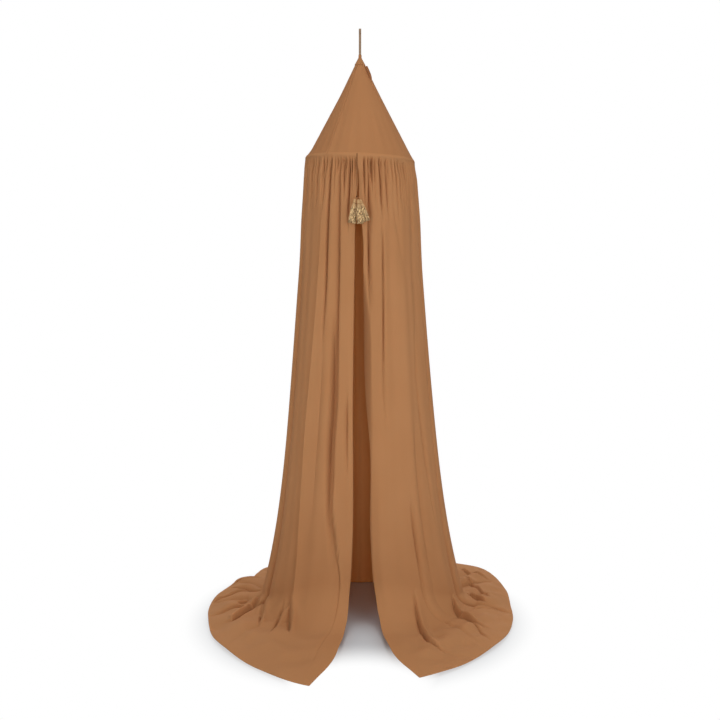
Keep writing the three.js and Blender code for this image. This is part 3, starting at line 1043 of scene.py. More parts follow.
LEFT = CurtainSide(
    name="left",
    sign=-1,
    reach=0.436,
    edge=(
        (0, 0.0112), (0.03, 0.0106), (0.07, 0.0108), (0.1, 0.016), (0.24, 0.023), (0.5, 0.030),
        (0.87, 0.035), (0.893, 0.0375), (0.926, 0.046), (0.947, 0.0495), (0.964, 0.053),
        (0.98, 0.059), (1, 0.063),
    ),
    turned_in=((0, 0), (0.06, 0.004), (0.2, 0.010), (0.8, 0.012), (0.95, 0.004), (1, 0)),
    hem=(
        (0, 1.545), (11, 1.53), (24, 1.375), (37, 1.245), (50, 1.15), (66, 1.05), (86, 1.0),
        (104, 0.985), (113, 0.995), (118, 1.005), (122, 0.985), (126, 0.965), (132, 1.02),
        (139, 1.1), (150, 1.11), (162, 1.12), (180, 1.1),
    ),
    tip=10.2,
    hidden=1.05,
    roll=(0.006, 0.012),
    grooves=(
        groove(
            ((0.018, 21.5), (0.1, 21), (0.2, 21), (0.31, 20.5), (0.42, 20.7), (0.5, 21)),
            26, 5.5, 9,
        ),
        groove(
            ((0.34, 20.8), (0.42, 21.2), (0.52, 21), (0.62, 22.2), (0.73, 21.2), (0.78, 19.8),
             (0.83, 17.2), (0.9, 14.5)),
            30, 4, 4, 9,
        ),
        groove(
            ((0.7, 18), (0.76, 17.5), (0.8, 15), (0.834, 13.7), (0.883, 11.4), (0.93, 10),
             (0.99, 9.6)),
            -9, 9, 20,
        ),
        groove(
            ((0.72, 19), (0.76, 18.2), (0.8, 15.8), (0.834, 14.5), (0.883, 12.2), (0.93, 10.8),
             (0.99, 10.4)),
            8, 3, 4,
        ),
        groove(((0, 31), (0.1, 31), (0.2, 31), (0.3, 30.2), (0.42, 31.5)), 20, 4, 3.5),
        groove(
            ((0.08, 37), (0.22, 36.6), (0.33, 36.4), (0.45, 37.8), (0.56, 40), (0.67, 40.6),
             (0.78, 40.4), (0.88, 39.2), (1, 38.8), (1.3, 39.2)),
            -20, 24, 42,
        ),
        groove(
            ((0.07, 40), (0.22, 39.4), (0.33, 39.2), (0.45, 40.6), (0.56, 42.8), (0.67, 43.4),
             (0.78, 43.2), (0.9, 41.8), (1.3, 41.8)),
            12, 3, 16,
        ),
        groove(((0.36, 29), (0.5, 31), (0.71, 33), (0.8, 33)), 5, 13, 8),
        groove(((0.5, 10.4), (0.56, 10.4), (0.62, 10.2), (0.7, 9.4)), 10, 5, 6),
        groove(((0, 57), (0.05, 56), (0.1, 54)), 16, 3, 3),
        groove(((0, 47.4), (0.04, 47), (0.1, 46)), 16, 2.6, 3),
        groove(((0, 39.3), (0.04, 38.5), (0.12, 37.5)), 15, 2.5, 3),
        groove(((0, 16), (0.04, 16), (0.09, 15)), 14, 2.2, 2.5),
        groove(((0.02, 10), (0.09, 10.8), (0.16, 11.2)), 18, 3, 3),
        groove(((0.03, 66), (0.09, 65), (0.2, 63)), 12, 3.5, 4.5),
    ),
    side_folds=((68, 72), (84, 86), (101, 103), (119, 117), (136, 138), (153, 151), (169, 170)),
    creases=(
        Crease(((0.59, -0.24), (0.52, -0.295), (0.43, -0.32)), 0.012, 0.010, 0.3),
        Crease(((0.63, 0.03), (0.555, -0.045), (0.46, -0.1)), 0.010, 0.009, 0.6),
        Crease(
            ((0.555, 0.33), (0.505, 0.33), (0.463, 0.23), (0.43, 0.09), (0.41, -0.05)),
            0.019, 0.009, 0.8,
        ),
        Crease(((0.395, 0.0), (0.397, 0.2), (0.395, 0.43)), 0.014, 0.008, 0.6),
        Crease(((0.308, 0.2), (0.326, 0.38), (0.342, 0.53)), 0.012, 0.008, 0.6),
        Crease(((0.29, 0.1), (0.28, 0.3), (0.27, 0.52)), 0.020, 0.010, 0.9),
        Crease(((0.453, 0.2), (0.43, 0.13)), 0.010, 0.009, 0.5),
        Crease(((0.51, 0.13), (0.47, 0.08), (0.46, 0.0)), 0.011, 0.009, 0.6),
    ),
    seed=11,
)

RIGHT = CurtainSide(
    name="right",
    sign=1,
    reach=0.452,
    edge=(
        (0, -0.0113), (0.014, -0.0108), (0.034, -0.0046), (0.09, -0.002), (0.16, 0.0099),
        (0.24, 0.0176), (0.34, 0.043), (0.5, 0.0506), (0.87, 0.056), (0.893, 0.0585),
        (0.929, 0.0705), (0.947, 0.075), (0.964, 0.0815), (0.98, 0.0845), (1, 0.09),
    ),
    turned_in=(
        (0, 0), (0.06, 0.004), (0.25, 0.008), (0.33, 0.045), (0.52, 0.045), (0.63, 0.012),
        (0.8, 0.012), (0.95, 0.004), (1, 0),
    ),
    hem=(
        (0, 1.455), (13.5, 1.425), (21, 1.36), (35, 1.235), (50, 1.14), (66, 1.057), (86, 1.005),
        (106, 1.055), (122, 1.15), (136, 1.235), (152, 1.18), (180, 1.1),
    ),
    tip=13.1,
    hidden=0.5,
    roll=(0.022, 0.030),
    grooves=(
        groove(((0, 20), (0.07, 20.5), (0.13, 21)), 18, 3, 3),
        groove(
            ((0.12, 21.5), (0.2, 21), (0.3, 20.5), (0.41, 19.5), (0.52, 18.5), (0.6, 20)),
            11, 3, 2.5,
        ),
        groove(((0.01, 9), (0.12, 8.8), (0.2, 8.4), (0.26, 8.7), (0.33, 9.6)), 24, 3, 3.5),
        groove(((0, 12.2), (0.07, 11.8)), 18, 2.5, 2.5),
        groove(((0, 4), (0.05, 4.4), (0.11, 5)), 10, 2.4, 2.6),
        groove(((0, 25.3), (0.06, 26.5), (0.13, 27.5)), 13, 2.6, 3),
        groove(((0.05, 31), (0.12, 34), (0.2, 40), (0.28, 47)), 4, 9, 12),
        groove(((0, 43.2), (0.04, 43), (0.09, 43)), 15, 2.6, 3),
        groove(((0.03, 57), (0.1, 58.7), (0.16, 59)), 15, 3, 4),
        groove(((0.36, 55), (0.5, 52.8), (0.6, 55.2), (0.72, 58.6), (0.8, 60)), 15, 4, 7),
        groove(((0.74, 36), (0.82, 37.4), (0.9, 38), (0.96, 38)), 12, 6, 7),
        groove(((0.55, 45), (0.75, 46), (1, 46)), 8, 16, 20),
    ),
    side_folds=((74, 76), (96, 94), (113, 115), (131, 129), (148, 150), (165, 164)),
    creases=(
        Crease(
            ((0.208, 0.1), (0.218, 0.27), (0.236, 0.43), (0.256, 0.58), (0.292, 0.635),
             (0.36, 0.7)),
            0.018, 0.010, -0.8,
        ),
        Crease(
            ((0.372, 0.04), (0.385, 0.19), (0.4, 0.28), (0.46, 0.365), (0.52, 0.42)),
            0.022, 0.009, -0.9,
        ),
        Crease(((0.39, 0.22), (0.44, 0.36), (0.5, 0.55)), 0.007, 0.009, -0.5),
        Crease(((0.3, -0.1), (0.334, 0.11)), 0.008, 0.009, -0.5),
        Crease(((0.442, -0.06), (0.485, 0.03), (0.53, 0.11)), 0.017, 0.009, -0.7),
        Crease(((0.46, 0.18), (0.53, 0.17), (0.62, 0.15)), 0.007, 0.012, -0.8),
        Crease(((0.467, -0.3), (0.518, -0.1), (0.553, 0.08)), 0.009, 0.009, -0.5),
        Crease(((0.46, -0.45), (0.52, -0.34), (0.6, -0.29)), 0.012, 0.009, -0.7),
    ),
    seed=23,
)


# ---------------------------------------------------------------- curtain


@dataclass
class Curtain:
    """The curtain: two front and two back panels, each one width of cloth.

    Its points stand in rows from the seam to the hem and in columns away from the front. Degrees
    are from the front, a share is one of the fall from the hoop, and the pool is the share of the
    way across the floor.
    """

    dresser: Dresser
    wall: float = 0.0009
    bends: Table = (
        (0, 0.20), (22, 0.19), (45, 0.13), (70, 0.08), (90, 0.06), (120, 0.05), (150, 0.035),
        (180, 0.025),
    )
    fine_down_to: float = 0.11
    even_down_to: float = 0.26
    row_counts: tuple[int, ...] = (7, 25, 42, 7, 14, 64)
    columns: int = 300
    first_column: float = 8.0
    hem_steps: tuple[float, ...] = (0.0, 0.0015, 0.005, 0.010, 0.0125, 0.014)
    seam_steps: tuple[float, ...] = (0.0, 0.0007, 0.002)
    seam_turn: float = 0.006
    seam_gap: float = 0.00015
    pool_span: float = 0.635
    pool_height: float = 0.032
    front_reach: float = 0.330
    back_reach: float = 0.305
    hem_width: float = 0.014
    hem_lift: float = 0.0035
    hem_wave: float = 0.006
    hem_softness: float = 0.002
    fold_depth: float = 0.024
    fold_width: float = 0.030
    fold_limit: float = 0.07
    fold_sides: Span = (0.6, 0.35)
    fold_growth: Table = ((0, 0), (0.012, 0), (0.05, 0.5), (0.15, 0.6), (0.5, 0.85), (1, 1))
    swell: float = 0.028
    swell_counts: tuple[int, ...] = (9, 14, 23, 37)
    ripple: float = 0.0022
    back_sag: float = 0.022
    calm_back: Span = (166.0, 179.5)
    pool_shape: Table = ((0, 0.8), (0.35, 1.0), (0.7, 0.65), (1, 0.05))
    edge_turn: Table = (
        (0, 0), (0.1, -0.01), (0.25, 0.02), (0.35, 0.045), (0.5, 0.10), (0.7, 0.39),
        (0.85, 0.71), (1, 1),
    )
    stitch: StitchSize = StitchSize(pitch=0.0055, length=0.004)

    def rows(self, bend: Array) -> tuple[Array, Array, Array]:
        """Rows of the cloth from the seam to the hem.

        Args:
            bend: Radius of the turn onto the floor at each column.

        Returns:
            The height of each point while it hangs, its row's turn from upright to flat in
            radians, and its row's share of the way across the floor.
        """
        heads, fines, falls, lows, turns, pools = self.row_counts
        top = LINES.floor_z + LINES.curtain_cloth + bend[None]
        even = LINES.floor_z + self.even_down_to
        rim, fine = LINES.hoop_z + LINES.edge_rise, LINES.hoop_z - self.fine_down_to
        head = np.linspace(LINES.seam_z, rim, heads)[:-1]
        near = np.linspace(rim, fine, fines)[:-1]
        hanging = np.r_[head, near, np.linspace(fine, even, falls)][:, None] + 0 * top
        low = np.linspace(0, 1, lows)[1:, None]
        turn = np.linspace(0, math.pi / 2, turns)[1:]
        pool = np.linspace(0, 1, pools)[1:]
        floor = np.repeat(top, len(turn) + len(pool), axis=0)
        z = np.concatenate([hanging, mix(even, top, low), floor])
        upright = len(hanging) + len(low)
        turn_of = np.r_[np.zeros(upright), turn, np.full(len(pool), turn[-1])]
        pool_of = np.r_[np.zeros(upright + len(turn)), pool]
        return z, turn_of[:, None], pool_of[:, None]

    def gathers(self, side: CurtainSide, start: float, stop: float) -> list[Groove]:
        """Small folds that spring from the seam.

        Args:
            side: The side of the curtain.
            start: First angle in degrees from the front.
            stop: Last angle.

        Returns:
            Grooves of uneven spacing, depth and length.
        """
        rng = np.random.default_rng(side.seed + int(start))
        found = []
        at = start + 1.5
        while at < stop - 1:
            depth = rng.uniform(0.006, 0.018)
            end = rng.uniform(0.035, 0.14)
            drift = rng.uniform(-1.4, 1.4)
            width = rng.uniform(0.0016, 0.003)
            line = ((-0.01, at), (0.02, at + drift * 0.3), (end, at + drift))
            places = (-0.01, 0.002, 0.0095, end * 0.5, end)
            knots = tuple(zip(places, (depth * share for share in (0.1, 0.1, 1, 0.6, 0))))
            found.append(Groove(line, knots, width, width * rng.uniform(0.9, 1.6)))
            at += rng.uniform(2.3, 4.6)
        return found

    def pulled(
        self, side: CurtainSide, degrees: Array, share: Array, radius: Array
    ) -> tuple[Array, Array]:
        """How far the folds take the cloth in and sideways.

        Args:
            side: The side of the curtain.
            degrees: Angle of each point.
            share: Share of the fall of each point.
            radius: Distance of each point from the middle.

        Returns:
            Metres inwards, softly limited, and metres away from the front.
        """
        total, aside = np.zeros_like(degrees), np.zeros_like(degrees)
        small = self.gathers(side, 3.0, 90.0) + self.gathers(side, 90.0, 179.0)
        for fold in (*side.grooves, *small):
            inwards, sideways = fold.pull(degrees, share, radius)
            total += inwards
            aside += sideways
        growth = through(self.fold_growth, share)
        for k, (top, foot) in enumerate(side.side_folds):
            wander = 1.2 * np.sin(5.1 * share + 1.7 * k) + 0.6 * np.sin(11 * share + 2.3 * k)
            away = np.radians(degrees - mix(top, foot, share) - wander) * radius
            near, far = self.fold_sides[:: -1 if k % 2 else 1]
            section = valley(away, near * self.fold_width, far * self.fold_width)
            depth = self.fold_depth * (0.9 + 0.3 * math.sin(2.1 * k))
            pull = 1.15 * depth * growth * section
            total += pull
            aside += lean_of(near, far) * pull
        rng = np.random.default_rng(side.seed)
        for waves in self.swell_counts:
            phase, drift, bend = rng.uniform(0, ROUND), rng.uniform(-3, 3), rng.uniform(0, ROUND)
            swing = np.sin(np.radians(degrees) * waves + phase + drift * np.sin(3 * share + bend))
            total += self.swell / waves * swing * smooth(share, 0.02, 0.15)
        return self.fold_limit * np.tanh(total / self.fold_limit), aside

    def front_columns(
        self, side: CurtainSide, lower: Array, wide: Array, pool: Array, along: Array
    ) -> tuple[Array, Array, Array]:
        """Columns of a front panel, counted from the fold line of its leading edge.

        Args:
            side: The side of the curtain.
            lower: Share of the fall of each row, which is 1 on the floor.
            wide: Distance to the side of each row while it hangs.
            pool: Share of the way across the floor of each row.
            along: Distance of each point from the middle.

        Returns:
            Metres from the fold line, degrees from the front, and how far the strip that is
            turned in at the edge goes back behind the rest.
        """
        hang = np.degrees(np.arcsin(through(side.edge, lower) / wide))
        edge = mix(hang, side.tip, through(self.edge_turn, pool))
        inner = through(side.turned_in, lower) * (1 - pool)
        near = np.array(self.hem_steps)[None] - inner
        shares = np.linspace(0, 1, self.columns - near.shape[1] + 1)[1:]
        shares[-len(self.seam_steps):] = 1 - np.array(self.seam_steps)[::-1]
        length = np.radians(RIGHT_ANGLE - edge) * along[:, -1:]
        u = np.concatenate([near, mix(near[:, -1:], length, shares)], axis=1)
        back = 0.5 * (np.sqrt(u**2 + 0.004**2) - u) * smooth(inner, 0, 0.008)
        return u, edge + np.degrees((u + side.hidden * back) / along), back

    def points(self, side: CurtainSide, front: bool) -> Array:
        """Places of one panel's outer face.

        A point hangs at its row's height on an oval whose half axes are the curtain's distances
        to the side and to the front or back. The leading edge is turned in, the folds pull the
        cloth towards the middle, a quarter circle takes it to the floor, and there it runs out to
        the hem, in low folds.

        Args:
            side: The side of the curtain.
            front: True for the front panel.

        Returns:
            Places as rows by columns by 3.
        """
        seam = np.array(self.seam_steps)
        steps = np.linspace(0, 1, self.columns)[None]
        steps[0, -len(seam):] = 1 - seam[::-1]
        if not front:
            steps[0, : len(seam)] = seam
        first = self.first_column if front else RIGHT_ANGLE
        column = mix(first, RIGHT_ANGLE if front else 2 * RIGHT_ANGLE, steps)
        bend = through(self.bends, column[0])
        z, turn, pool = self.rows(bend)
        share = np.maximum((LINES.hoop_z - z) / LINES.fall, 0)
        wide = LINES.curtain_radius(z, side.reach)
        deep = LINES.curtain_radius(z, self.front_reach if front else self.back_reach)
        out = bend * (1 - np.cos(turn))
        along = mix(wide + out, self.pool_span * 1.1, pool)
        if front:
            lower = mix(share, 1.0, turn / (math.pi / 2))[:, :1]
            u, degrees, back = self.front_columns(side, lower, (wide + out)[:, :1], pool, along)
            inwards, aside = self.pulled(side, degrees, share, along)
            steady, calm, low = smooth(u, 0.012, 0.05), smooth(u, 0.02, 0.12), 0
            curl = np.exp(-((np.maximum(u, 0) / side.roll[1]) ** 2))
            curl = side.roll[0] * curl * through(self.fold_growth, share) * (1 - pool)
            turned_in, ends = curl + 0.85 * back, 1 - steps
        else:
            degrees = column + 0 * z
            inwards, aside = self.pulled(side, degrees, share, along)
            common = self.back_sag * smooth(share, 0.3, 1.0)
            inwards = mix(inwards, common, smooth(degrees, 172.0, 179.5))
            steady, calm = 1 - smooth(degrees, 174.0, 180.0), 1.0
            low = smooth(degrees, 130.0, 165.0) * (1 - smooth(pool, -0.02, 0.3))
            turned_in, ends = 0, np.minimum(steps, 1 - steps)
        steady = steady * (1 - smooth(np.abs(degrees - RIGHT_ANGLE), 6.0, 0.0))
        angle = np.radians(degrees) + steady * aside / along * (1 - 0.7 * pool)
        sewn = np.maximum(1 - ends / self.seam_steps[1], 0) * smooth(share, 0.012, 0.03)
        inwards = inwards + LINES.sag(z, side.sign * degrees) + self.seam_turn * sewn + turned_in

        stand = np.stack([np.sin(angle), -np.cos(angle)], axis=-1)
        base = np.stack([wide * stand[..., 0], deep * stand[..., 1]], axis=-1)
        base = base + stand * (out - inwards * np.cos(turn))[..., None]
        hem = stand * (through(side.hem, np.degrees(angle)) * self.pool_span)[..., None]
        flat = mix(base, hem, pool[..., None])
        lying = self.lie(side, flat, degrees, pool, inwards * calm, calm) * (1 - low)
        level = z + (lying - bend) * np.sin(turn)
        x = side.sign * (flat[..., 0] + (0 if front else self.seam_gap))
        y = flat[..., 1] + (-self.seam_gap if front else self.seam_gap)
        return LINES.lean(np.stack([x, y, level], axis=-1), 1 - smooth(share, 0, 1))

    def lie(
        self, side: CurtainSide, flat: Array, degrees: Array, pool: Array, inwards: Array, calm: Any
    ) -> Array:
        """Height of the cloth on the floor.

        Args:
            side: The side of the curtain.
            flat: Places from above.
            degrees: Angles from the front.
            pool: Share of the way across the floor.
            inwards: How far the folds take the hanging cloth in there.
            calm: 0 along the leading edge and 1 away from it.

        Returns:
            Metres above the lowest level: the pool's rounded height, less what runs on from the
            folds, the creases and ripples along the hem.
        """
        crest = np.clip(1 - inwards / self.fold_depth * (1 - 0.55 * pool), 0, 1.15)
        height = through(self.pool_shape, pool) * self.pool_height * crest
        inside = (1 - smooth(pool, 0.93, 1.0)) * calm
        for crease in side.creases:
            height = height - crease.sink(flat[..., 0], -flat[..., 1]) * inside
        ahead = 1 - smooth(degrees, *self.calm_back)
        amount = self.ripple * calm * ahead * np.sin(np.pi * np.clip(pool, 0, 1)) ** 0.5
        rng = np.random.default_rng(side.seed + 5)
        for _ in range(7):
            way = rng.uniform(0, math.pi)
            long = rng.uniform(0.09, 0.22)
            phase = rng.uniform(0, ROUND)
            run = flat[..., 0] * math.cos(way) + flat[..., 1] * math.sin(way)
            height = height + amount * np.sin(run * ROUND / long + phase)
        lift = 0.5 + 0.5 * np.sin(np.radians(degrees) * 13 + side.seed) * ahead
        height = height + self.hem_wave * lift * smooth(pool, 0.6, 1.0)
        return self.hem_lift + 0.5 * (height + np.sqrt(height**2 + self.hem_softness**2))

    def build(self) -> None:
        for side in (LEFT, RIGHT):
            for front in (True, False):
                self.panel(side, front)

    def panel(self, side: CurtainSide, front: bool) -> None:
        """Makes one panel.

        Args:
            side: The side of the curtain.
            front: True for the front panel.
        """
        node = f"curtain_{'front' if front else 'back'}_{side.name}"
        points = self.points(side, front)
        sheet = grid_mesh(f"{node}_cloth", points, outwards(points, 0.3))
        self.dresser.dress(sheet, MUSLIN)
        thicken(sheet, self.wall)
        sewn = [self.hem_row(node, points)]
        if front:
            sewn.append(self.edge_row(node, points))
        for row in sewn:
            self.dresser.dress(row, THREAD)
        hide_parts(node)
        for piece in (sheet, *sewn):
            if front:
                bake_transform(piece)
            else:
                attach(piece, "root")

    def hem_row(self, node: str, points: Array) -> Piece:
        """Stitches along the hem on the floor.

        Args:
            node: The panel's node.
            points: Its points.

        Returns:
            The row of stitches.
        """
        span = np.linalg.norm(points[-1] - points[-6], axis=1)
        share = np.clip(self.hem_width / span, 0, 1)[:, None]
        line = mix(points[-1], points[-6], share) + [0, 0, 0.0002]
        return stitches(f"{node}_hem_stitches", line, (0, 0, 1.0), self.stitch)

    def edge_row(self, node: str, points: Array) -> Piece:
        """Stitches along the leading edge, on the column that ends its hem.

        Args:
            node: The panel's node.
            points: Its points.

        Returns:
            The row of stitches.
        """
        column = len(self.hem_steps) - 2
        line = points[:, column]
        over = points[:, column + 1] - points[:, column - 1]
        out = unit(np.cross(np.gradient(line, axis=0), over))
        facing = np.sign(np.sum(out * outwards(line, 0.3), axis=1, keepdims=True))
        return stitches(f"{node}_edge_stitches", line, out * facing, self.stitch)


# ---------------------------------------------------------------- roof


@dataclass
class Roof:
    """The cone: four panels, the seams between them, the cap on the tip and the bare label."""

    dresser: Dresser
    wall: float = 0.0008
    seam_angle: float = 53.0
    allowance: float = 0.010
    allowance_rise: float = 0.0010
    seam_dip: float = 0.0026
    seam_width: float = 0.0022
    seam_gap: float = 0.0002
    near_seam: tuple[float, ...] = (0.0, 0.12, 0.3, 0.6, 1.0, 1.6, 2.4, 3.4)
    stitch_row: float = 0.0038
    seat: float = 0.0012
    slack: float = 0.0011
    fine_down_to: float = -0.16
    cap_length: float = 0.042
    cap_top: float = 0.0016
    cap_neck: float = 0.012
    cap_over: float = 0.0005
    neck: float = 0.0070
    tuck: float = 0.0007
    label_wall: float = 0.0003
    label_length: float = 0.060
    label_width: float = 0.022
    label_below: float = 0.047
    label_bend: float = 0.9
    label_apart: Span = (0.0005, 0.0015)
    label_shape: Table = ((0.0, 0.0), (0.04, 1.0), (0.62, 0.9), (0.95, 0.45), (1.0, 0.0))

    def surface(self, degrees: Array, z: Array) -> Array:
        """Places on the roof's outer face.

        The face is a cone. It dips in a narrow line at each seam, stands a little higher over the
        seam allowance next to it, and has slight slack waves near the hoop.

        Args:
            degrees: Angles from the front.
            z: Heights.

        Returns:
            Places that lean with the hoop.
        """
        radius = LINES.roof_radius(z)
        angle = np.radians(degrees)
        off = (degrees - self.seam_angle + 45) % 90 - 45
        away = np.abs(np.radians(off)) * radius
        dip = self.seam_dip * np.exp(-((away / self.seam_width) ** 2))
        over = 1 - smooth(away, self.allowance - 0.003, self.allowance + 0.002)
        slack = smooth(-z, 0.25, 0.55) * (np.sin(angle * 17) + np.sin(angle * 29 + 1))
        r = radius - dip + self.allowance_rise * over + self.slack * slack - self.seat
        return LINES.lean(about(r - LINES.sag(z, degrees), angle, z))

    def build(self) -> None:
        """Makes the panels, the topstitches, the cap and the label."""
        top = LINES.apex_z - LINES.loop_tuck - LINES.gap
        fine = np.linspace(top, self.fine_down_to, 14)[:-1]
        rest = np.linspace(self.fine_down_to, LINES.hoop_z + LINES.edge_rise, 40)
        z = np.r_[fine, rest][:, None]
        near = np.array(self.near_seam)
        middle = np.linspace(near[-1], RIGHT_ANGLE - near[-1], 90)[1:-1]
        columns = np.r_[near, middle, RIGHT_ANGLE - near[::-1]][None]
        inset = np.degrees(self.seam_gap / LINES.roof_radius(z))
        sewn = z[3:, 0]
        for i, name in enumerate(("right", "back", "left", "front")):
            start = self.seam_angle + RIGHT_ANGLE * i
            points = self.surface(start + np.clip(columns, inset, RIGHT_ANGLE - inset), z)
            sheet = grid_mesh(f"roof_{name}_cloth", points, outwards(points, 0.3))
            thicken(sheet, self.wall)
            beside = np.degrees(self.stitch_row / LINES.roof_radius(sewn))
            line = self.surface(start + beside, sewn)
            out = outwards(line, 0.12)
            row = stitches(f"roof_{name}_topstitches", line + unit(out) * 0.0001, out)
            self.dresser.cloth(
                sheet, ROOF_MUSLIN_PAINTED_SHADE, f"roof_panel_{name}", [row], flat=(0.36, 0.5), area=0.086,
                held="stretched", rests_on=["hoop_casing_cloth"],
            )
        self.cap()
        self.label()

    def cap(self) -> None:
        """Makes the cap: a gathered neck, then a cone on the panels, with a hem."""
        neck, end = LINES.apex_z - self.cap_neck, LINES.apex_z - self.cap_length
        gathered = np.linspace(LINES.apex_z + self.cap_top, neck, 16)[:-1]
        z = np.r_[gathered, np.linspace(neck, end, 22)][:, None]
        turn = np.linspace(0, TURN, 97)[None]
        r = np.maximum(LINES.on_roof(z) + self.cap_over, self.neck - 0.0006)
        tuck = np.exp(-(((z - LINES.apex_z + 0.008) / 0.012) ** 2))
        r = r - self.tuck * tuck * (0.5 + 0.5 * np.sin(11 * turn + 1.3 * np.sin(2 * turn)))
        r = r + 0.0003 * (1 - smooth(z - end, 0.005, 0.0065)) - 0.0005
        points = LINES.lean(about(r, turn, z))
        cloth = grid_mesh("apex_cap_cloth", points, outwards(points, 0.01))
        thicken(cloth, self.wall, ring=True)
        row = stitches("apex_cap_stitches", points[-6], outwards(points[-6], 0.01))
        self.dresser.cloth(
            cloth, ROOF_MUSLIN_PAINTED_SHADE, "apex_cap", [row], flat=(0.14, 0.05), area=0.0044,
            held="stretched", rests_on=["roof_front_cloth"],
        )

    def label(self) -> None:
        """Makes the bare label: a loop of ribbon, folded at its edge and sewn into the seam."""
        down = np.linspace(0, 1, 40)[:, None]
        reach = np.interp(down, *np.array(self.label_shape).T)
        t = np.linspace(-1, 1, 41)[None]
        z = LINES.apex_z - self.label_below - down * self.label_length
        foot = LINES.on_roof(z)
        far = reach * self.label_width * (1 - np.abs(t)) ** 0.9
        ply, wave = self.label_apart
        apart = ply * np.sign(t) * np.abs(np.sin(np.pi * t)) ** 0.5
        beyond = (foot + far - LINES.roof_radius(z)) / self.label_width
        bend, curve = self.label_bend * far / self.label_width, self.label_width / self.label_bend
        apart = apart + wave * np.sin(3 * down) * beyond - curve * (1 - np.cos(bend))
        out = foot + curve * np.sin(bend)
        angle = math.radians(self.seam_angle)
        ahead = np.array([math.sin(angle), -math.cos(angle), 0])
        beside = np.array([math.cos(angle), math.sin(angle), 0])
        points = out[..., None] * ahead + apart[..., None] * beside
        points[..., 2] += z
        facing = np.sign(t)[..., None] * beside + 0 * points
        sheet = grid_mesh("sewn_in_label_ribbon", LINES.lean(points), facing)
        thicken(sheet, self.label_wall)
        self.dresser.cloth(
            sheet, LABEL_PAINTED_LIGHT, "sewn_in_label", flat=(0.044, 0.060), area=0.0021, held="folded",
            rests_on=["roof_right_cloth"],
        )


# ---------------------------------------------------------------- hoop and loop


@dataclass
class Hoop:
    """The hoop's cloth casing. Its rods and ferrules are the solids with their finishes."""

    dresser: Dresser
    wall: float = 0.0009
    slot_width: float = 0.002
    inset: float = 0.0004
    crumple: float = 0.00035

    def build(self) -> None:
        """Makes the casing, a ring of rounded section, and dresses the rods and ferrules."""
        for node, finish in (
            ("hoop_half_front", ROD),
            ("hoop_half_back", ROD),
            ("hoop_ferrule_left", FERRULE),
            ("hoop_ferrule_right", FERRULE),
        ):
            self.dresser.dress(frame["nodes"][node], finish)
        ring = np.linspace(0, TURN, 241)[None]
        slot = math.pi / 2 + LINES.roof_angle
        half = self.slot_width / 2 / LINES.casing_radius
        around = np.linspace(slot + half, slot + TURN - half, 25)[:, None]
        crumple = self.crumple * np.sin(61 * ring + 2 * np.sin(around)) * np.sin(around * 3)
        r = LINES.casing_radius - self.inset + crumple
        out = LINES.hoop_radius + r * np.cos(around)
        points = about(out, ring, LINES.hoop_z + r * np.sin(around))
        away = about(np.cos(around), ring, np.sin(around))
        casing = grid_mesh("hoop_casing_cloth", LINES.lean(points), away)
        thicken(casing, self.wall, ring=True)
        self.dresser.cloth(
            casing, MUSLIN, "hoop_casing", flat=(0.05, 1.38), held="folded",
            rests_on=["hoop_half_front", "hoop_half_back"],
        )


@dataclass
class HangingLoop:
    """The tape that the canopy hangs on: folded round an eye and sewn face to face."""

    dresser: Dresser
    width: float = 0.010
    ply: float = 0.0016
    eye: float = 0.006
    wave: float = 0.0001
    play: float = 0.00005
    edge: float = 0.0016
    stitched: Span = (0.004, 0.012)
    stitch: StitchSize = StitchSize(0.0024, 0.0018, 0.00025, 0.0003)

    def build(self) -> None:
        """Makes the tape as one ribbon that runs up, round the eye and down again.

        Its section is a rounded oblong: powers of the cosine and sine of the angle round it. The
        stitches run along a box below the eye.
        """
        half = self.ply / 2
        middle = self.eye + half
        meet = math.asin(half / middle)
        low = LINES.apex_z - LINES.loop_tuck
        neck = -self.eye - middle * math.cos(meet)
        bow = np.linspace(meet - math.pi / 2, 1.5 * math.pi - meet, 49)
        rise = np.linspace(low, neck, 40)[:-1]
        y = np.r_[np.full(len(rise), half), middle * np.cos(bow), np.full(len(rise), -half)]
        z = np.r_[rise, -self.eye + middle * np.sin(bow), rise[::-1]]
        path = np.stack([0 * y, y, z], axis=1)
        over = np.cross(unit(np.gradient(path, axis=0)), [1.0, 0, 0])[:, None]
        turn = np.linspace(0, TURN, 25)[None, :-1]
        cosine, sine = np.cos(turn), np.sin(turn)
        across = np.sign(cosine) * np.abs(cosine) ** 0.35 * self.width / 2
        thick = np.sign(sine) * np.abs(sine) ** 0.6 * (half - self.play)
        wave = self.wave * np.sin(np.arange(len(path)) * 0.9)[:, None]
        points = path[:, None] + across[..., None] * np.array([1.0, 0, 0])
        points = points + (thick + wave * np.sign(across))[..., None] * over
        tape = tube_mesh("hanging_loop_tape", points[None])
        face_out(tape)
        self.dresser.settle(tape, TAPE, "root", "hanging_loop")
        side = self.width / 2 - self.edge
        top, foot = (neck - below for below in self.stitched)
        box = np.array([[-side, top], [side, top], [side, foot], [-side, foot], [-side, top]])
        shares = np.linspace(0, 1, 30)[:, None]
        line = np.concatenate([mix(a, b, shares) for a, b in zip(box[:-1], box[1:])])
        front = np.full(len(line), -self.ply - 0.0001)
        seam = np.stack([line[:, 0], front, line[:, 1]], axis=1)
        row = stitches("hanging_loop_stitches", seam, (0, -1.0, 0), self.stitch)
        self.dresser.settle(row, THREAD, "root")
        log.info("hanging loop made")


# ---------------------------------------------------------------- tassels


@dataclass(frozen=True)
class TasselShape:
    """Where one tassel hangs and where its foot is, from the knot, as shares of the drop."""

    side: str
    hang: Span
    foot: Span
    forward: float
    wide: float
    seed: int

    def place(self, at: Span) -> Array:
        """One of its two places, ahead of the knot by its own share."""
        return np.array([at[0], -self.forward, at[1]])


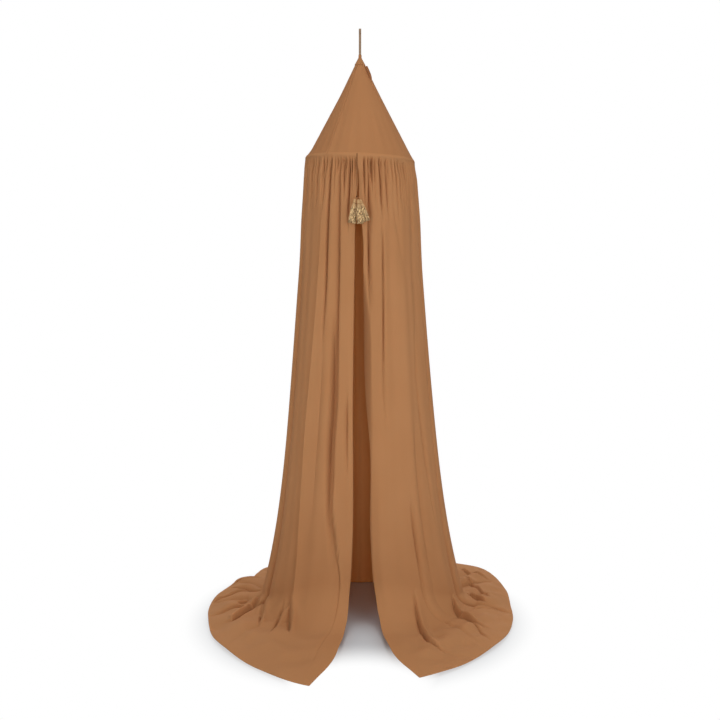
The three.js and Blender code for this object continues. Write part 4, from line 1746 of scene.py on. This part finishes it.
@dataclass
class Tassels:
    """The cord, its knot and three fanned tassels of metallic yarn."""

    dresser: Dresser
    knot: Place = (-0.012, -0.2609, -0.720)
    knot_size: float = 0.00098
    knot_thread: float = 0.00155
    knot_reach: float = 0.0048
    cord_top: float = -0.545
    cord_end: float = -0.7152
    cord_reach: float = 0.330
    cord_radius: float = 0.0015
    cord_lay: float = 0.006
    gap: float = 0.0003
    drop: float = 0.108
    thread_radius: float = 0.0012
    thread_lay: float = 0.004
    cap_radius: float = 0.0055
    cap_height: float = 0.008
    binding_height: float = 0.007
    binding_wraps: float = 0.0008
    strands: int = 210
    strand_radius: float = 0.00055
    strand_wave: float = 0.0007
    shapes: tuple[TasselShape, ...] = (
        TasselShape("left", (-0.078, -0.093), (-0.19, -0.99), 0.0, 0.30, 3),
        TasselShape("middle", (0.040, -0.111), (0.118, -1.01), 0.074, 0.25, 4),
        TasselShape("right", (0.115, -0.111), (0.362, -0.917), 0.0, 0.29, 5),
    )

    def twist(self, name: str, path: Array, radius: float, lay: float) -> Piece:
        """Cord of two plies: two rounded ridges that wind along a path.

        Args:
            name: Name of the piece.
            path: Points of its middle line.
            radius: Greatest radius.
            lay: Length of one turn of the plies.

        Returns:
            The cord.
        """
        sides = 10
        wind = np.arange(sides) / sides * TURN + np.pi * walked(path)[:, None] / lay
        return tubes(name, path[None], radius * (0.86 + 0.14 * np.abs(np.cos(wind)))[None], sides)

    def build(self) -> None:
        knot = np.array(self.knot)
        share = np.linspace(0, 1, 60)
        z = mix(self.cord_top, self.cord_end, share)
        cloth = LINES.curtain_radius(np.minimum(z, LINES.hoop_z), self.cord_reach)
        y = mix(-(cloth + self.gap + self.cord_radius), knot[1], share**4)
        path = np.stack([np.full(len(z), knot[0]), y, z], axis=1)
        cord = self.twist("tassel_cord_twist", path, self.cord_radius, self.cord_lay)
        self.dresser.settle(cord, THREAD_PAINTED_SHADE, "tassel_bunch", "tassel_cord")
        t = np.linspace(0, TURN, 97)[:, None] % TURN
        trefoil = np.sin(t) + 2 * np.sin(2 * t), -1.3 * np.sin(3 * t), np.cos(t) - 2 * np.cos(2 * t)
        turns = knot + self.knot_size * np.concatenate(trefoil, axis=1)
        knotted = tubes("tassel_knot_turns", turns[None], self.knot_thread, 10)
        face_out(knotted)
        self.dresser.settle(knotted, THREAD_PAINTED_SHADE, "tassel_bunch", "tassel_knot")
        hung = [knotted]
        for shape in self.shapes:
            hung += self.tassel(shape, knot)

    def tassel(self, shape: TasselShape, knot: Array) -> list[Piece]:
        """Makes one tassel: its thread from the knot, and below it a cap, binding and skirt.

        Args:
            shape: Which one.
            knot: Middle of the knot.

        Returns:
            Its thread, cap and binding.
        """
        name = f"tassel_{shape.side}"
        hang, foot = shape.place(shape.hang) * self.drop, shape.place(shape.foot) * self.drop
        end = float(np.linalg.norm(hang)) - self.thread_radius - self.gap
        path = knot + unit(hang) * np.linspace(self.knot_reach, end, 12)[:, None]
        thread = self.twist(f"{name}_thread_twist", path, self.thread_radius, self.thread_lay)
        lobe = np.linspace(0, np.pi / 2, 9)
        low = -self.cap_height
        wide = mix(self.thread_radius, self.cap_radius, np.sin(lobe))
        dome = np.stack([wide, 0.8 * low * (1 - np.cos(lobe))], axis=1)
        profile = np.r_[[[0, 0]], dome, [[self.cap_radius, low], [0, low]]]
        ribs = 0.95 + 0.05 * np.cos(16 * np.arange(48) / 48 * TURN)[None]
        cap = turned(f"{name}_cap_threads", profile, 48, ribs)
        top = low - self.gap
        end = top - self.binding_height
        s = np.linspace(0, 1, 41)
        wraps = self.cap_radius + 0.0001 + self.binding_wraps * np.abs(np.sin(5 * np.pi * s)) ** 0.6
        ring = np.r_[[[0, top]], np.stack([wraps, mix(top, end, s)], axis=1), [[0, end]]]
        binding = turned(f"{name}_binding_wraps", ring, 40)
        skirt = self.skirt(shape, end, float(np.linalg.norm(foot - hang)))
        down = unit(foot - hang)
        side = unit(np.cross(down, [0, 1.0, 0]))
        axes = np.stack([side, np.cross(down, side), -down])
        for piece in (cap, binding, skirt):
            moved = places(piece) @ axes + hang + knot
            piece.data.vertices.foreach_set("co", moved.astype(np.float32).ravel())
            piece.data.update()
            face_out(piece)
        for piece, finish, part in (
            (thread, THREAD, "thread"),
            (cap, PALE_THREAD_HIGHLIGHT, "cap"),
            (binding, METAL_YARN, "binding"),
            (skirt, METAL_YARN, "skirt"),
        ):
            self.dresser.settle(piece, finish, name, f"{name}_{part}")
        return [thread, cap, binding]

    def skirt(self, shape: TasselShape, end: float, length: float) -> Piece:
        """Makes the skirt of a tassel from flat metallic strands.

        Each strand starts in the binding and spreads to its own place at the foot, with a few
        small waves.

        Args:
            shape: Which tassel.
            end: Height of the binding's lower edge in the tassel's own frame.
            length: Distance from the tassel's top to its foot.

        Returns:
            The skirt in the tassel's own frame.
        """
        rng = np.random.default_rng(shape.seed)
        one = (self.strands, 1)
        out = np.sqrt(rng.uniform(0.02, 1, one))
        turn = rng.uniform(0, TURN, one)
        foot = shape.wide * self.drop / 2
        t = np.linspace(0, 1, 7)[None]
        radius = mix((self.cap_radius - 0.0004) * out, (foot - 0.0006) * out, t**0.55)
        twist = turn + 0.35 * rng.normal(size=one) * t
        swing = np.sin(t * rng.uniform(5, 13, one) + rng.uniform(0, ROUND, one))
        radius = radius + self.strand_wave * swing * t
        z = mix(end + 0.001, -rng.uniform(0.93, 1.0, one) * length, t)
        paths = np.stack([radius * np.cos(twist), radius * np.sin(twist), z], axis=-1)
        strand = self.strand_radius * rng.uniform(0.8, 1.25, (*one, 1))
        return tubes(f"tassel_{shape.side}_skirt_strands", paths, strand, 4, flat=0.45)


# ---------------------------------------------------------------- studio


class LampKind(Enum):
    """Kinds of lamps: a square panel, or a cone of light with a soft edge."""

    PANEL = "AREA"
    CONE = "SPOT"


@dataclass(frozen=True)
class Lamp:
    """A lamp that looks at a height on the canopy's axis, with its power in watts."""

    name: str
    place: Place
    power: float
    kind: LampKind = LampKind.PANEL
    aim: float = -1.35
    size: float = 3.0
    cone: float = 38.0
    softness: float = 0.7
    source: float = 0.35

    def build(self) -> None:
        """Puts the lamp into the scene."""
        data = bpy.data.lights.new(self.name, self.kind.value)
        data.energy = self.power
        if self.kind is LampKind.PANEL:
            data.size = self.size
        else:
            data.spot_size = math.radians(self.cone)
            data.spot_blend = self.softness
            data.shadow_soft_size = self.source
        lamp = bpy.data.objects.new(self.name, data)
        lamp.location = self.place
        x, y, z = (b - a for a, b in zip(self.place, (0, 0, self.aim)))
        lamp.rotation_euler = math.atan2(math.hypot(x, y), -z), 0, math.atan2(y, x) - math.pi / 2
        bpy.context.scene.collection.objects.link(lamp)


@dataclass
class Studio:
    """Camera, lamps, background and floor."""

    camera_y: float = -4.6137
    camera_z: float = -1.0244
    pitch: float = 1.739
    lens: float = 54.5
    shift: float = -0.075
    view_end: float = 60.0
    ambient: float = 0.38
    floor_half: float = 12.0
    floor_gap: float = 0.0012
    # Grey-blue floor tone, seen only near the canopy where the floor is not white: the shadow there
    # is real, and this tone darkens and cools it as painted shade.
    floor_shade_tone: Colour = (0.66, 0.69, 0.72, 1)
    lamps: tuple[Lamp, ...] = (
        Lamp("key", (2.7, -4.3, -0.7), 60),
        Lamp("fill", (-2.7, -4.3, -0.7), 30),
        Lamp("front", (0, -4.9, -0.8), 190, LampKind.CONE, -0.95),
        Lamp("top", (0, -0.8, 6.0), 175),
        Lamp("back", (0, 4.8, 0.4), 90),
    )

    def camera(self) -> None:
        """Sets the camera at the photograph's viewing angle."""
        data = bpy.data.cameras.new("camera")
        data.lens = self.lens
        data.sensor_width = 36
        data.sensor_fit = "HORIZONTAL"
        data.shift_y = self.shift
        data.clip_end = self.view_end
        camera = bpy.data.objects.new("camera", data)
        camera.location = (0, self.camera_y, self.camera_z)
        camera.rotation_euler = (math.radians(RIGHT_ANGLE - self.pitch), 0, 0)
        bpy.context.scene.collection.objects.link(camera)
        bpy.context.scene.camera = camera

    def background(self) -> None:
        """Makes the background white to the camera and to reflections, and dimmer as a light."""
        world = bpy.data.worlds.new("studio")
        bpy.context.scene.world = world
        world.use_nodes = True
        b = Board(world.node_tree, "OutputWorld")
        dim, bright = (
            b.add("Background", Color=(1, 1, 1, 1), Strength=strength)
            for strength in (self.ambient, 1)
        )
        b.plug(b.output, 0, b.shaders(self.seen(b), dim, bright))

    def seen(self, b: Board) -> Socket:
        """Output that is 1 for camera, glossy and transmission rays, but not for soft light.

        Light that goes through cloth counts as a transmission ray too, and is told by being soft.

        Args:
            b: The node board.

        Returns:
            The output socket.
        """
        ray = b.add("LightPath").outputs
        glossy = b.math("MAXIMUM", ray["Is Camera Ray"], ray["Is Glossy Ray"])
        clear = b.math("MAXIMUM", glossy, ray["Is Transmission Ray"])
        return b.math("SUBTRACT", clear, ray["Is Diffuse Ray"], clamp=True)

    def disc(self, b: Surface, centre: Place, half: Place, ramp: Span) -> Socket:
        """Share of white by the distance from a spot on the floor.

        Args:
            b: The floor's node board.
            centre: The spot.
            half: Half axes of the oval at which the gradient ends.
            ramp: Gradient at which the share is 1 and at which it is 0. The gradient is 1 at the
                spot and 0 on the oval.

        Returns:
            The output socket.
        """
        move = b.add("Mapping", Vector=b.coordinates["Object"])
        b.fill(
            move,
            Location=tuple(-c / h for c, h in zip(centre, half)),
            Scale=tuple(1 / h for h in half),
        )
        ball = b.add("TexGradient", {"gradient_type": "SPHERICAL"}, Vector=move.outputs[0])
        rising = ramp[0] < ramp[1]
        soft = b.add(
            "MapRange", {"interpolation_type": "SMOOTHSTEP"}, Value=ball.outputs["Fac"],
            From_Min=min(ramp), From_Max=max(ramp), To_Min=float(rising), To_Max=float(not rising),
        )
        return soft.outputs[0]

    def floor(self) -> None:
        """Lays the floor, which keeps the shadow near the canopy and goes white away from it."""
        level = LINES.floor_z - self.floor_gap
        half = self.floor_half
        turn = TURN / 8 + np.arange(4) * TURN / 4
        corners = about(half * math.sqrt(2) + 0 * turn, -turn, level)
        floor = raw_mesh("floor", corners, np.arange(4), np.array([4]))
        b = Surface("pale_floor", "BsdfDiffuse")
        away = self.disc(b, (0, -0.13, level), (1.05, 1.3, 1), (0.30, 0.55))
        opening = self.disc(b, (0, -1.0, level), (0.55, 0.62, 1), (0.6, 0.15))
        share = b.math("MULTIPLY", b.math("MAXIMUM", away, opening), self.seen(b))
        b.plug(b.output, 0, b.shaders(share, b.shader, b.add("Emission")))
        # the floor's grey-blue tone adds painted shade to the real shadow near the canopy
        floor.data.materials.append(b.wear(Color=self.floor_shade_tone))

    def build(self) -> None:
        """Sets up the whole studio."""
        self.camera()
        self.background()
        for lamp in self.lamps:
            lamp.build()
        self.floor()
        bpy.context.scene.view_settings.view_transform = "Standard"


def main() -> None:
    """Builds the canopy piece by piece."""
    logging.basicConfig(level=logging.INFO, format="%(message)s")
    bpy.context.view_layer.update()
    Studio().build()
    dresser = Dresser()
    for assembly in (Tassels, Hoop, Curtain, Roof, HangingLoop):
        assembly(dresser).build()


if __name__ == "__main__":
    main()
